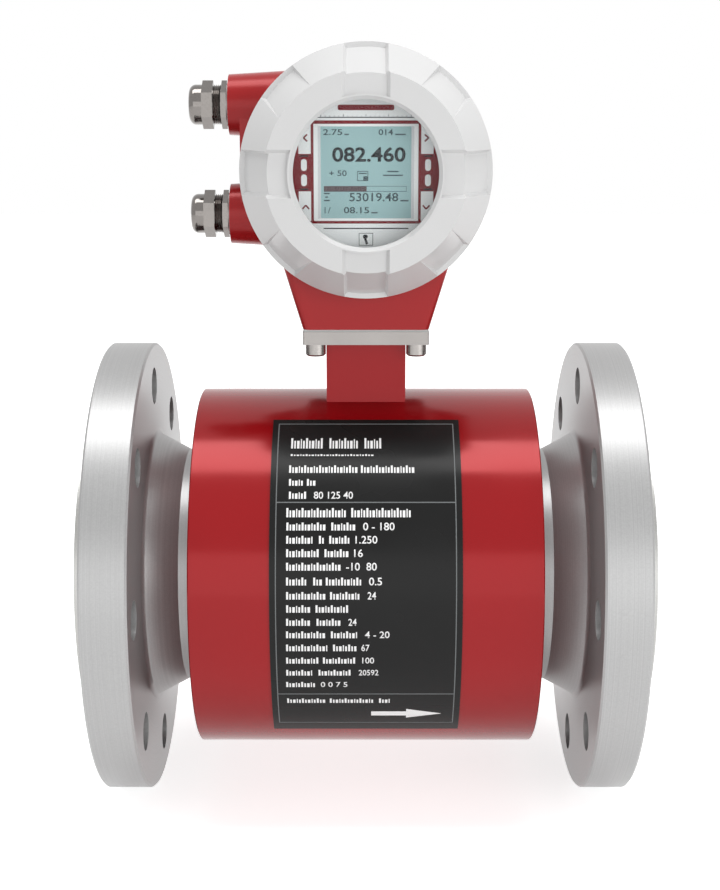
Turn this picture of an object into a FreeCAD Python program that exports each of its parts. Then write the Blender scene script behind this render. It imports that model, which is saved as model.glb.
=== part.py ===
import FreeCAD, Part
import math
import os
import re
import Sketcher

# Electromagnetic flow meter with flanged measuring tube and field housing.
#
# Frame: origin on the pipe axis at mid-length, +X along the flow, +Z up through
# the neck to the converter head, and the display looks along -Y.
# All lengths are millimetres and all angles degrees.

Vector = FreeCAD.Vector
doc = FreeCAD.newDocument("flow_meter")

# ---------------------------------------------------------------------------
# Driving dimensions
# ---------------------------------------------------------------------------
SIZES = [
    # Measuring tube and its two flanges, DN100 PN16
    ("flange_span", 250, "over the rims of both flanges"),
    ("flange_dia", 220, "flange outside diameter"),
    ("flange_thick", 21.5, "flange rim thickness"),
    ("flange_edge", 1.0, "chamfer on the flange rim"),
    ("bolt_margin", 20, "from the flange rim in to the pitch circle of its holes"),
    ("bolt_hole", 18, "flange hole diameter"),
    ("bolt_count", 8, "holes in each flange"),
    ("raised_margin", 2, "between the raised face and the flange holes"),
    ("raised_height", 2, "raised face height"),
    ("hub_dia", 131, "hub diameter where it meets the flange"),
    ("hub_fillet", 3, "radius between hub and flange"),
    ("hub_taper", 16, "length of the tapered hub"),
    ("neck_length", 30.5, "from flange to the weld with the pipe"),
    ("pipe_dia", 114.3, "pipe outside diameter"),
    ("pipe_wall", 3.6, "pipe wall"),
    ("liner_bore", 100, "clear bore of the lined tube"),
    ("liner_lip", 2, "thickness of the liner where it covers the raised face"),
    ("ring_thick", 3, "earthing ring thickness"),
    # Sensor shell round the coils
    ("shell_dia", 174.6, "shell outside diameter"),
    ("shell_length", 160, "shell length"),
    ("shell_wall", 3, "shell wall"),
    ("end_wall", 3, "end plate thickness"),
    ("weld_gap", 0.1, "gap between the shell's end plate and the pipe"),
    # Field coils, pole shoes and yoke
    ("coil_length", 92, "coil along the pipe"),
    ("coil_width", 84, "coil across the pipe"),
    ("coil_limb", 14, "width of the winding"),
    ("coil_height", 9, "winding depth off the pipe"),
    ("coil_corner", 16, "outer corner radius of the winding"),
    ("coil_gap", 0.5, "gap between winding and its neighbours"),
    ("pole_height", 10.5, "pole shoe height off the pipe"),
    ("yoke_thick", 2.5, "yoke sheet thickness"),
    ("yoke_length", 70, "yoke along the pipe"),
    ("yoke_window", 24, "hole in the yoke at each electrode"),
    # Electrodes
    ("stem_dia", 4, "electrode stem"),
    ("stem_reach", 70, "from the pipe axis to the stem's end"),
    ("head_dia", 10, "electrode head"),
    ("head_thick", 1.1, "electrode head thickness"),
    ("bush_dia", 8, "insulating bush through the pipe wall"),
    ("bush_flange_dia", 14, "collar of the bush"),
    ("bush_flange", 2.5, "thickness of the bush's collar"),
    ("washer_dia", 10, "spring washer"),
    ("washer_stack", 2.4, "height of the spring washers"),
    ("electrode_nut", 8, "electrode nut across flats"),
    ("electrode_nut_height", 3, "electrode nut height"),
    ("slip", 0.05, "clearance round pieces that slide together"),
    # Neck and collar
    ("duct_width", 37.6, "neck across the front"),
    ("duct_depth", 36, "neck from front to back"),
    ("duct_wall", 3, "neck wall"),
    ("collar_under", 114.7, "height of the collar's underside"),
    ("collar_side", 58.9, "side of the square collar"),
    ("collar_thick", 6.1, "collar thickness"),
    ("collar_edge", 0.5, "chamfer on the collar"),
    ("gasket_thick", 1, "gasket thickness"),
    ("screw_spacing", 47.4, "between collar screws"),
    ("screw_dia", 6, "collar screw thread"),
    ("screw_head", 9.6, "collar screw head"),
    ("screw_head_height", 5.8, "collar screw head height"),
    ("screw_length", 18, "collar screw under the head"),
    ("screw_spare", 2, "thread left under a collar screw"),
    ("screw_socket", 5, "hexagon socket across flats"),
    ("screw_clearance", 0.3, "round the screw in the collar"),
    # Converter housing
    ("head_height", 195, "height of the head's axis"),
    ("drum_dia", 112, "housing drum"),
    ("drum_length", 76, "housing drum from front to back"),
    ("cavity_dia", 100, "bore of both compartments"),
    ("thread_dia", 104, "thread of the covers"),
    ("thread_depth", 13, "depth of the thread in the drum"),
    ("partition_back", 6, "partition's back face in front of the centre"),
    ("partition_thick", 3, "partition between the compartments"),
    ("skirt_flare", 17, "angle of the skirt's sides"),
    ("skirt_round", 3, "radius on the skirt's upright corners"),
    ("skirt_cavity", 34, "side of the hollow above the collar"),
    ("skirt_cavity_height", 16, "height of the hollow above the collar"),
    ("feed_hole", 8, "hole that leads the cables into the head"),
    ("feed_margin", 1, "between that hole and the partition"),
    ("boss_dia", 28, "gland boss at its face"),
    ("boss_reach", 64.2, "from the head's axis to the boss face"),
    ("boss_draft", 3.5, "taper of the bosses"),
    ("web_step", 5.5, "from the boss faces back to the web between them"),
    ("web_depth", 26, "web from front to back"),
    ("gland_high", 29.4, "upper gland above the head's axis"),
    ("gland_low", 21.4, "lower gland below the head's axis"),
    # Covers
    ("rim_dia", 114, "cover rim"),
    ("rim_band", 3.5, "straight band of the cover rim"),
    ("front_depth", 26, "front cover from drum to face"),
    ("front_face_dia", 89, "flat face of the front cover"),
    ("rear_depth", 17, "rear cover from drum to face"),
    ("rear_face_dia", 94, "flat face of the rear cover"),
    ("cover_wall", 3.5, "wall of the covers behind the recesses"),
    ("spigot_length", 12, "threaded spigot of a cover"),
    ("spigot_bore", 93, "bore of the spigot"),
    ("thread_slip", 0.08, "radial clearance of the thread"),
    ("lane_width", 18, "floor of the recesses that cross the face"),
    ("lane_depth", 2, "depth of the recesses"),
    ("lane_flare", 1.5, "how far the sides of a recess lean out over its depth"),
    ("overrun", 10, "how far a cutting shape reaches past the metal"),
    ("oring_section", 2.4, "cover O-ring section"),
    ("groove_slip", 0.1, "clearance of an O-ring in its groove"),
    ("window_dia", 64, "clear window"),
    ("window_chamfer", 1.6, "chamfer round the window"),
    ("window_lip", 4, "metal in front of the glass"),
    ("window_seal", 1, "seal in front of the glass"),
    ("glass_dia", 75, "window glass"),
    ("glass_thick", 6, "window glass thickness"),
    ("retainer_height", 4, "ring that holds the glass"),
    ("retainer_bore", 68, "bore of that ring"),
    # Display
    ("bezel_face", 47, "bezel's front in front of the centre"),
    ("bezel_dia", 74, "display bezel"),
    ("bezel_wall", 2, "bezel wall"),
    ("screen_width", 40.4, "opening for the screen across"),
    ("screen_height", 40.4, "opening for the screen upright"),
    ("lcd_margin", 3, "hidden border of the screen"),
    ("key_width", 2.6, "window of an optical key across"),
    ("key_height", 5.6, "window of an optical key upright"),
    ("key_reach", 27.6, "keys from the head's axis"),
    ("key_spacing", 6.7, "between the two keys of a pair"),
    # Boards and terminals
    ("board_thick", 1.6, "circuit board thickness"),
    ("board_dia", 92, "main board"),
    ("board_ring", 40.5, "radius of the board pillars"),
    ("pillar_dia", 7, "board pillar"),
    ("lower_pillar", 7, "pillars between partition and main board"),
    ("upper_pillar", 14.4, "pillars between the two boards"),
    ("stud_dia", 3, "board screw"),
    ("board_screw_head", 5.6, "board screw head"),
    ("terminal_width", 56, "terminal board across"),
    ("terminal_height", 66, "terminal board upright"),
    ("terminal_pillar", 14, "pillars of the terminal board"),
    ("block_width", 20, "terminal block across"),
    ("block_depth", 12, "terminal block off its board"),
    ("pole_pitch", 7.5, "between terminals"),
    ("terminal_poles", 7, "terminals in each block"),
    # Cable glands
    ("gland_thread", 16, "gland thread in the boss"),
    ("gland_thread_length", 12, "length of that thread"),
    ("gland_bore", 10.4, "bore of the gland"),
    ("gland_hex", 19.4, "gland across flats"),
    ("gland_hex_height", 2.5, "hexagon against the boss"),
    ("gland_washer", 1, "seal under the gland"),
    ("gland_collar_dia", 17.2, "threaded collar under the dome nut"),
    ("gland_collar_height", 4, "threaded collar that shows"),
    ("gland_nut_hex", 5, "hexagon of the dome nut"),
    ("gland_dome", 6.2, "dome of the dome nut"),
    ("gland_dome_dia", 18.6, "dome diameter"),
    ("gland_mouth", 10.4, "mouth of the dome nut"),
    ("gland_screw_length", 7, "thread under the dome nut"),
    ("gland_seal_bore", 8.2, "bore of the rubber bush"),
    ("gland_claw_wall", 1.2, "wall of the claw ring"),
    ("gland_screw_step", 1.2, "from the collar down to the thread under the dome nut"),
    ("hex_overlap", 1, "how far a gland's hexagon reaches into its round part"),
    ("claw_reach", 2, "claws beyond the thread"),
    ("claw_tip", 0.8, "how far the tips of the claws lean in"),
    ("claw_slit", 1, "slit between two claws"),
    ("claw_count", 8, "claws in a gland"),
    # Plate
    ("plate_width", 86.5, "nameplate along the shell"),
    ("plate_arc", 111.6, "nameplate round the shell"),
    ("plate_tilt", 10, "middle of the nameplate above the front"),
    ("plate_thick", 0.8, "nameplate thickness"),
    ("plate_film", 0.05, "adhesive under the nameplate"),
]

sizes = doc.addObject("Spreadsheet::Sheet", "sizes")
for row, (alias, number, note) in enumerate(SIZES, start=1):
    sizes.set(f"A{row}", alias)
    sizes.set(f"B{row}", str(number))
    sizes.set(f"C{row}", note)
    sizes.setAlias(f"B{row}", alias)
doc.recompute()

# Lengths that follow from the driving ones
DERIVED = {
    "bolt_circle": "flange_dia - 2 * bolt_margin",
    "raised_dia": "bolt_circle - bolt_hole - 2 * raised_margin",
    "half_span": "flange_span / 2",
    "flange_back": "half_span - flange_thick",
    "sealing_face": "half_span + raised_height",
    "lip_face": "sealing_face + liner_lip",
    "pipe_r": "pipe_dia / 2",
    "pipe_bore": "pipe_r - pipe_wall",
    "neck_end": "flange_back - neck_length",
    "shell_r": "shell_dia / 2",
    "shell_inner": "shell_r - shell_wall",
    "coil_top": "pipe_r + coil_gap + coil_height",
    "pole_top": "pipe_r + pole_height",
    "head_face": "liner_bore / 2 + slip",
    "head_back": "head_face + head_thick",
    "washer_seat": "pipe_r + bush_flange",
    "nut_seat": "washer_seat + washer_stack",
    "collar_top": "collar_under + collar_thick",
    "skirt_foot": "collar_top + gasket_thick",
    "skirt_drop": "head_height - skirt_foot",
    "drum_half": "drum_length / 2",
    "partition_front": "partition_back + partition_thick",
    "rim_top": "drum_half + rim_band",
    "front_face": "drum_half + front_depth",
    "rear_face": "drum_half + rear_depth",
    "spigot_r": "thread_dia / 2 - thread_slip",
    "groove_floor": "thread_dia / 2 - oring_section - 2 * groove_slip",
    "groove_width": "oring_section + 2 * groove_slip",
    "glass_seat": "front_face - window_lip",
    "glass_front": "glass_seat - window_seal",
    "glass_back": "glass_front - glass_thick",
    "bezel_back": "bezel_face - bezel_wall",
    "main_board_back": "partition_front + lower_pillar",
    "main_board_front": "main_board_back + board_thick",
    "display_board_back": "main_board_front + upper_pillar",
    "display_board_front": "display_board_back + board_thick",
    "terminal_board_front": "partition_back - terminal_pillar",
    "terminal_board_back": "terminal_board_front - board_thick",
    "gland_seat": "boss_reach + gland_washer",
    "gland_shoulder": "gland_seat + gland_hex_height",
    "gland_nut_foot": "gland_shoulder + gland_collar_height",
    "gland_nut_top": "gland_nut_foot + gland_nut_hex",
    "gland_tip": "gland_nut_top + gland_dome",
    "gland_screw_r": "gland_collar_dia / 2 - gland_screw_step",
}
ALIASES = {alias for alias, _, _ in SIZES}


def formula(text):
    """Write a formula in terms of the sheet's cells."""
    def expand(match):
        word = match.group(0)
        if word in DERIVED:
            return "(" + formula(DERIVED[word]) + ")"
        return "sizes." + word if word in ALIASES else word
    return re.sub(r"[A-Za-z_]\w*", expand, str(text))


def bind(thing, **formulas):
    """Tie properties to formulas; a double underscore stands for a dot."""
    for name, text in formulas.items():
        thing.setExpression(name.replace("__", "."), formula(text))


# ---------------------------------------------------------------------------
# Bodies, sketches and features
# ---------------------------------------------------------------------------
FRONT = (Vector(1, 0, 0), 90)    # local +Z looks to the front, local +Y up
REAR = (Vector(1, 0, 0), -90)    # local +Z looks to the rear, local +Y down
INLET_SIDE = (Vector(0, 1, 0), -90)    # local +Z looks along -X, local +X up
ALONG_PIPE = (Vector(0, 1, 0), 90)    # local +Z looks along +X, local +X down
UPRIGHT = (Vector(0, 0, 1), 0)
nodes = []


def place(thing, turn, position):
    axis, angle = turn
    thing.Placement = FreeCAD.Placement(Vector(), FreeCAD.Rotation(axis, angle))
    for letter, text in zip("xyz", position):
        if text:
            thing.setExpression(f"Placement.Base.{letter}", formula(text))


def new_body(label, turn=UPRIGHT, position=(0, 0, 0)):
    body = doc.addObject("PartDesign::Body", label)
    body.Label = label
    place(body, turn, position)
    return body


def origin_part(body, role):
    return next(item for item in body.Origin.OriginFeatures if item.Role == role)


def new_sketch(body, plane="XY_Plane", offset=0):
    sketch = body.newObject("Sketcher::SketchObject", "sketch")
    sketch.AttachmentSupport = (origin_part(body, plane), "")
    sketch.MapMode = "FlatFace"
    bind(sketch, AttachmentOffset__Base__z=offset)
    return sketch


def bind_point(sketch, geometry, corner, x_text, y_text):
    for kind, text in (("DistanceX", x_text), ("DistanceY", y_text)):
        index = sketch.addConstraint(Sketcher.Constraint(kind, -1, 1, geometry, corner, 1.0))
        sketch.setExpression(f"Constraints[{index}]", formula(text))


def add_outline(sketch, points):
    """A closed outline of straight sides; each corner is a pair of formulas."""
    count = len(points)
    first = sketch.GeometryCount
    around = [Vector(math.cos(2 * math.pi * i / count), math.sin(2 * math.pi * i / count), 0)
              for i in range(count)]
    for i in range(count):
        sketch.addGeometry(Part.LineSegment(around[i], around[(i + 1) % count]))
    for i in range(count):
        after = first + (i + 1) % count
        sketch.addConstraint(Sketcher.Constraint("Coincident", first + i, 2, after, 1))
    for i, (x_text, y_text) in enumerate(points):
        bind_point(sketch, first + i, 1, x_text, y_text)


def add_rectangle(sketch, width, height, x_text="0", y_text="0"):
    left, right = f"{x_text} - ({width}) / 2", f"{x_text} + ({width}) / 2"
    low, high = f"{y_text} - ({height}) / 2", f"{y_text} + ({height}) / 2"
    add_outline(sketch, [(left, low), (right, low), (right, high), (left, high)])


def add_circle(sketch, diameter, x_text="0", y_text="0"):
    index = sketch.addGeometry(Part.Circle(Vector(), Vector(0, 0, 1), 1.0))
    bind_point(sketch, index, 3, x_text, y_text)
    radius = sketch.addConstraint(Sketcher.Constraint("Radius", index, 1.0))
    sketch.setExpression(f"Constraints[{radius}]", formula(f"({diameter}) / 2"))


def add_hexagon(sketch, across_flats):
    """A hexagon with corners on the sketch's X axis."""
    corner, half = f"({across_flats}) / sqrt(3)", f"({across_flats}) / 2"
    add_outline(sketch, [(corner, "0"), (f"{corner} / 2", half), (f"-{corner} / 2", half),
                         (f"-{corner}", "0"), (f"-{corner} / 2", f"-{half}"),
                         (f"{corner} / 2", f"-{half}")])


def turned(body, kind, points, axis="Z_Axis", angle=360, midplane=False):
    """Turn an outline, given as (radius, height) pairs, about the body's axis."""
    plane = {"Z_Axis": "XZ_Plane", "X_Axis": "XY_Plane"}[axis]
    sketch = new_sketch(body, plane)
    add_outline(sketch, points)
    feature = body.newObject("PartDesign::" + kind, kind.lower())
    feature.Profile = sketch
    feature.ReferenceAxis = (origin_part(body, axis), [""])
    feature.Midplane = midplane
    bind(feature, Angle=angle)
    doc.recompute()
    return feature


def revolve(body, points, **options):
    return turned(body, "Revolution", points, **options)


def groove(body, points, **options):
    return turned(body, "Groove", points, **options)


def pad(body, sketch, length, midplane=False, downward=False):
    feature = body.newObject("PartDesign::Pad", "pad")
    feature.Profile = sketch
    feature.Midplane = midplane
    feature.Reversed = downward
    bind(feature, Length=length)
    doc.recompute()
    return feature


def pocket(body, sketch, length=None, midplane=False, downward=True):
    """Cut a sketch into the body; without a length it cuts right through both ways."""
    before = body.Shape.Volume
    feature = body.newObject("PartDesign::Pocket", "pocket")
    feature.Profile = sketch
    feature.Midplane = midplane or length is None
    feature.Reversed = not downward
    if length is None:
        feature.Type = "ThroughAll"
    else:
        bind(feature, Length=length)
    doc.recompute()
    if not body.Shape.Volume < before:
        raise RuntimeError(f"a pocket of {body.Label} cuts nothing")
    return feature


def polar(body, feature, count, axis="Z_Axis"):
    pattern = body.newObject("PartDesign::PolarPattern", "pattern")
    pattern.Originals = [feature]
    pattern.Axis = (origin_part(body, axis), [""])
    pattern.Angle = 360
    bind(pattern, Occurrences=count)
    body.Tip = pattern
    doc.recompute()
    return pattern


def dress(body, kind, size, wanted):
    """Fillet or chamfer the edges of the body's tip that the test picks out."""
    tip = body.Tip
    edges = [f"Edge{i}" for i, edge in enumerate(tip.Shape.Edges, start=1) if wanted(edge)]
    if not edges:
        raise RuntimeError(f"no edge to dress on {body.Label}")
    feature = body.newObject("PartDesign::" + kind, kind.lower())
    feature.Base = (tip, edges)
    bind(feature, **{"Radius" if kind == "Fillet" else "Size": size})
    doc.recompute()
    return feature


def circle_at(radius=None, height=None, axis=Vector(0, 0, 1)):
    """A test for round edges about an axis, by radius and by height along it."""
    def wanted(edge):
        curve = edge.Curve
        if not isinstance(curve, Part.Circle) or abs(abs(curve.Axis.dot(axis)) - 1) > 1e-6:
            return False
        right_radius = radius is None or abs(curve.Radius - radius) < 1e-3
        return right_radius and (height is None or abs(curve.Center.dot(axis) - height) < 1e-3)
    return wanted


def upright(edge):
    """A test for straight edges along the body's Z axis."""
    if not isinstance(edge.Curve, Part.Line):
        return False
    return abs(abs(edge.tangentAt(edge.FirstParameter).z) - 1) < 1e-6


def size(name):
    return float(sizes.get(name))


def ring(label, outer, inner, low, high, **where):
    """A turned ring about local Z, by its two diameters and its two heights."""
    body = new_body(label, **where)
    revolve(body, [(f"({inner}) / 2", low), (f"({outer}) / 2", low),
                   (f"({outer}) / 2", high), (f"({inner}) / 2", high)])
    return body


def keep(thing, label=None):
    """Enter a finished sub-part under the name of its node."""
    thing.Label = label or thing.Label
    nodes.append(thing)
    return thing


def mirrored(source, label, normal, height=None):
    """The mirror image of a sub-part in a plane through the origin or at a height."""
    copy = doc.addObject("Part::Mirroring", label)
    copy.Source = source
    copy.Normal = normal
    if height:
        bind(copy, Base__z=height)
    return copy


def grouped(label, members):
    group = doc.addObject("Part::Compound", label)
    group.Links = members
    return group


def cut(label, base, tool):
    feature = doc.addObject("Part::Cut", label)
    feature.Base = base
    feature.Tool = tool
    return feature


# ---------------------------------------------------------------------------
# Measuring tube, flanges, liner and earthing rings
# ---------------------------------------------------------------------------
def make_flange():
    """Weld-neck flange on the outlet side, turned about the pipe axis."""
    body = new_body("flange_outlet")
    revolve(body, [("neck_end", "pipe_bore"), ("neck_end", "pipe_r"),
                   ("flange_back - hub_taper", "pipe_r"), ("flange_back", "hub_dia / 2"),
                   ("flange_back", "flange_dia / 2"), ("half_span", "flange_dia / 2"),
                   ("half_span", "raised_dia / 2"), ("sealing_face", "raised_dia / 2"),
                   ("sealing_face", "pipe_bore")], axis="X_Axis")
    along = Vector(1, 0, 0)
    dress(body, "Fillet", "hub_fillet", circle_at(radius=size("hub_dia") / 2, axis=along))
    dress(body, "Chamfer", "flange_edge", circle_at(radius=size("flange_dia") / 2, axis=along))
    holes = new_sketch(body, "YZ_Plane")
    add_circle(holes, "bolt_hole", "0", "bolt_circle / 2")
    hole = pocket(body, holes)
    polar(body, hole, "bolt_count", axis="X_Axis")
    return body


def make_tube():
    body = new_body("measuring_tube")
    revolve(body, [("-neck_end", "pipe_bore"), ("neck_end", "pipe_bore"),
                   ("neck_end", "pipe_r"), ("-neck_end", "pipe_r")], axis="X_Axis")
    seats = new_sketch(body, "XZ_Plane")
    add_circle(seats, "bush_dia + 2 * slip")
    pocket(body, seats)
    return body


def make_liner():
    """PTFE liner with a lip turned over each raised face."""
    body = new_body("tube_liner")
    revolve(body, [("-lip_face", "liner_bore / 2"), ("lip_face", "liner_bore / 2"),
                   ("lip_face", "raised_dia / 2"), ("sealing_face", "raised_dia / 2"),
                   ("sealing_face", "pipe_bore"), ("-sealing_face", "pipe_bore"),
                   ("-sealing_face", "raised_dia / 2"), ("-lip_face", "raised_dia / 2")],
            axis="X_Axis")
    for diameter, length in (("stem_dia + 2 * slip", "2 * pipe_r"),
                             ("head_dia + 2 * slip", "2 * (head_back + slip)")):
        seats = new_sketch(body, "XZ_Plane")
        add_circle(seats, diameter)
        pocket(body, seats, length, midplane=True)
    return body


flange_outlet = keep(make_flange())
keep(mirrored(flange_outlet, "flange_inlet", Vector(1, 0, 0)))
keep(make_tube())
keep(make_liner())
earthing_ring_outlet = keep(ring("earthing_ring_outlet", "raised_dia", "liner_bore", "lip_face",
                                 "lip_face + ring_thick", turn=ALONG_PIPE))
keep(mirrored(earthing_ring_outlet, "earthing_ring_inlet", Vector(1, 0, 0)))


# ---------------------------------------------------------------------------
# Sensor shell, neck and nameplate
# ---------------------------------------------------------------------------
def make_shell():
    body = new_body("sensor_shell")
    revolve(body, [("-shell_length / 2", "shell_inner"), ("shell_length / 2", "shell_inner"),
                   ("shell_length / 2", "shell_r"), ("-shell_length / 2", "shell_r")],
            axis="X_Axis")
    along = Vector(1, 0, 0)
    dress(body, "Chamfer", "collar_edge", circle_at(radius=size("shell_dia") / 2, axis=along))
    opening = new_sketch(body)
    add_rectangle(opening, "duct_width - 2 * duct_wall", "duct_depth - 2 * duct_wall")
    pocket(body, opening, "shell_dia", downward=False)
    return body


def make_duct():
    """Rectangular neck whose foot follows the shell."""
    body = new_body("neck_duct")
    section = new_sketch(body)
    add_rectangle(section, "duct_width", "duct_depth")
    add_rectangle(section, "duct_width - 2 * duct_wall", "duct_depth - 2 * duct_wall")
    pad(body, section, "collar_under")
    foot = new_sketch(body, "YZ_Plane")
    add_circle(foot, "shell_dia")
    pocket(body, foot)
    return body


def collar_holes(body, diameter):
    holes = new_sketch(body)
    for x_sign in ("", "-"):
        for y_sign in ("", "-"):
            add_circle(holes, diameter, f"{x_sign}screw_spacing / 2", f"{y_sign}screw_spacing / 2")
    return holes


def make_collar():
    """Square plate on top of the neck that carries the converter."""
    body = new_body("neck_collar", position=(0, 0, "collar_under"))
    plate = new_sketch(body)
    add_rectangle(plate, "collar_side", "collar_side")
    add_rectangle(plate, "duct_width - 2 * duct_wall", "duct_depth - 2 * duct_wall")
    pad(body, plate, "collar_thick")
    corner = size("collar_side") / 2
    dress(body, "Chamfer", "collar_edge",
          lambda edge: upright(edge) and abs(abs(edge.CenterOfMass.x) - corner) < 1e-3)
    pocket(body, collar_holes(body, "screw_dia + 2 * screw_clearance"))
    return body


def make_gasket():
    body = new_body("collar_gasket", position=(0, 0, "collar_top"))
    sheet = new_sketch(body)
    add_rectangle(sheet, "collar_side - 2 * collar_edge", "collar_side - 2 * collar_edge")
    add_rectangle(sheet, "skirt_cavity", "skirt_cavity")
    pad(body, sheet, "gasket_thick")
    pocket(body, collar_holes(body, "screw_dia + 2 * screw_clearance"))
    return body


def make_collar_screws():
    """Four socket screws that pull the converter down on the collar."""
    body = new_body("collar_screw", position=("screw_spacing / 2", "screw_spacing / 2",
                                              "collar_under"))
    revolve(body, [("0", "-screw_head_height"), ("screw_head / 2", "-screw_head_height"),
                   ("screw_head / 2", "0"), ("screw_dia / 2", "0"),
                   ("screw_dia / 2", "screw_length"), ("0", "screw_length")])
    dress(body, "Chamfer", "screw_head / 12", circle_at(radius=size("screw_head") / 2,
                                                        height=-size("screw_head_height")))
    socket = new_sketch(body, offset="-screw_head_height")
    add_hexagon(socket, "screw_socket")
    pocket(body, socket, "screw_head_height / 2", downward=False)
    pair = grouped("screw_pair", [body, mirrored(body, "screw_left", Vector(1, 0, 0))])
    return grouped("collar_screws", [pair, mirrored(pair, "screws_front", Vector(0, 1, 0))])


def make_nameplate():
    """Thin plate bent round the front of the shell."""
    body = new_body("nameplate", turn=(Vector(1, 0, 0), 0))
    inner = "shell_r + plate_film"
    revolve(body, [("-plate_width / 2", f"-({inner})"), ("plate_width / 2", f"-({inner})"),
                   ("plate_width / 2", f"-({inner} + plate_thick)"),
                   ("-plate_width / 2", f"-({inner} + plate_thick)")],
            axis="X_Axis", angle="plate_arc", midplane=True)
    body.Placement = FreeCAD.Placement(Vector(), FreeCAD.Rotation(Vector(1, 0, 0), -size("plate_tilt")))
    bind(body, Placement__Rotation__Angle="-plate_tilt")
    return body


keep(make_shell())
end_plate_outlet = keep(ring("end_plate_outlet", "shell_inner * 2", "pipe_dia + 2 * weld_gap",
                             "shell_length / 2 - end_wall", "shell_length / 2", turn=ALONG_PIPE))
keep(mirrored(end_plate_outlet, "end_plate_inlet", Vector(1, 0, 0)))
keep(make_duct())
keep(make_collar())
keep(make_gasket())
keep(make_collar_screws())
keep(make_nameplate())


# ---------------------------------------------------------------------------
# Field coils, pole shoes, yoke and electrodes
# ---------------------------------------------------------------------------
def saddle(label, length, width, low, high, corner, window=None):
    """A block over the pipe, bent between two radii, with an optional window."""
    body = new_body(label)
    section = new_sketch(body)
    add_rectangle(section, length, width)
    if window:
        add_rectangle(section, *window)
    pad(body, section, high)
    end = body.Shape.BoundBox.XMax
    dress(body, "Fillet", corner,
          lambda edge: upright(edge) and abs(abs(edge.CenterOfMass.x) - end) < 1e-3)
    under = new_sketch(body, "YZ_Plane")
    add_circle(under, f"2 * ({low})")
    pocket(body, under)
    over = new_sketch(body, "YZ_Plane")
    add_circle(over, f"2 * ({high})")
    add_circle(over, f"4 * ({high})")
    pocket(body, over)
    return body


def make_coil():
    """Saddle coil above the pipe, wound round its pole shoe."""
    return saddle("coil_upper", "coil_length", "coil_width", "pipe_r + coil_gap", "coil_top",
                  "coil_corner", window=("coil_length - 2 * coil_limb",
                                         "coil_width - 2 * coil_limb"))


def make_pole():
    spare = "2 * (coil_limb + coil_gap)"
    return saddle("pole_shoe_upper", f"coil_length - {spare}", f"coil_width - {spare}",
                  "pipe_r + slip", "pole_top", "coil_corner / 4")


def make_yoke():
    """Sheet-steel band round both pole shoes, open at the electrodes."""
    body = new_body("magnet_yoke")
    inner, outer = "pole_top + slip", "pole_top + slip + yoke_thick"
    revolve(body, [("-yoke_length / 2", inner), ("yoke_length / 2", inner),
                   ("yoke_length / 2", outer), ("-yoke_length / 2", outer)], axis="X_Axis")
    windows = new_sketch(body, "XZ_Plane")
    add_circle(windows, "yoke_window")
    pocket(body, windows)
    return body


def make_electrode():
    """Flush-headed electrode whose stem passes through liner and pipe."""
    body = new_body("electrode_front", turn=FRONT)
    revolve(body, [("0", "head_face"), ("head_dia / 2", "head_face"),
                   ("head_dia / 2", "head_back"), ("stem_dia / 2", "head_back"),
                   ("stem_dia / 2", "stem_reach"), ("0", "stem_reach")])
    return body


def make_bush():
    body = new_body("bush_front", turn=FRONT)
    bore = "stem_dia / 2 + slip"
    revolve(body, [(bore, "pipe_bore"), ("bush_dia / 2", "pipe_bore"), ("bush_dia / 2", "pipe_r"),
                   ("bush_flange_dia / 2", "pipe_r"), ("bush_flange_dia / 2", "washer_seat"),
                   (bore, "washer_seat")])
    return body


def make_washers():
    """A pair of cone washers, small ends outward."""
    body = new_body("washer_front", turn=FRONT)
    bore, rim, sheet = "stem_dia / 2 + 4 * slip", "washer_dia / 2", "washer_stack / 2"
    revolve(body, [(rim, "washer_seat"), (rim, f"washer_seat + {sheet}"),
                   (bore, "nut_seat"), (bore, f"nut_seat - {sheet}")])
    return body


def make_electrode_nut():
    body = new_body("electrode_nut_front", turn=FRONT)
    section = new_sketch(body, offset="nut_seat")
    add_hexagon(section, "electrode_nut")
    add_circle(section, "stem_dia + 2 * slip")
    pad(body, section, "electrode_nut_height")
    return body


coil_upper = keep(make_coil())
keep(mirrored(coil_upper, "coil_lower", Vector(0, 0, 1)))
pole_upper = keep(make_pole())
keep(mirrored(pole_upper, "pole_shoe_lower", Vector(0, 0, 1)))
keep(make_yoke())
electrode_front = keep(make_electrode())
keep(mirrored(electrode_front, "electrode_back", Vector(0, 1, 0)))
for label, maker in (("electrode_bushes", make_bush), ("electrode_washers", make_washers),
                     ("electrode_nuts", make_electrode_nut)):
    front_piece = maker()
    keep(grouped(label, [front_piece, mirrored(front_piece, label + "_back", Vector(0, 1, 0))]))


# ---------------------------------------------------------------------------
# Converter housing
# ---------------------------------------------------------------------------
def add_skirt(body):
    """Flared foot between the square collar and the drum, with rounded corners."""
    foot, top = "collar_side / 2", "cavity_dia / 4"
    crown = f"({foot} + tan(skirt_flare) * (skirt_drop - {top}))"
    section = new_sketch(body)
    add_outline(section, [(f"-{foot}", "-skirt_drop"), (foot, "-skirt_drop"),
                          (crown, f"-{top}"), (f"-{crown}", f"-{top}")])
    pad(body, section, "collar_side", midplane=True)
    dress(body, "Fillet", "skirt_round",
          lambda edge: abs(edge.tangentAt(edge.FirstParameter).y) > 0.5)


def add_boss(body, height):
    """Tapered boss for a cable gland, on the inlet side of the drum."""
    circle = new_sketch(body, "YZ_Plane", offset="-boss_reach")
    add_circle(circle, "boss_dia", height)
    boss = pad(body, circle, "boss_reach - cavity_dia / 3")
    bind(boss, TaperAngle="boss_draft")
    doc.recompute()


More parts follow.
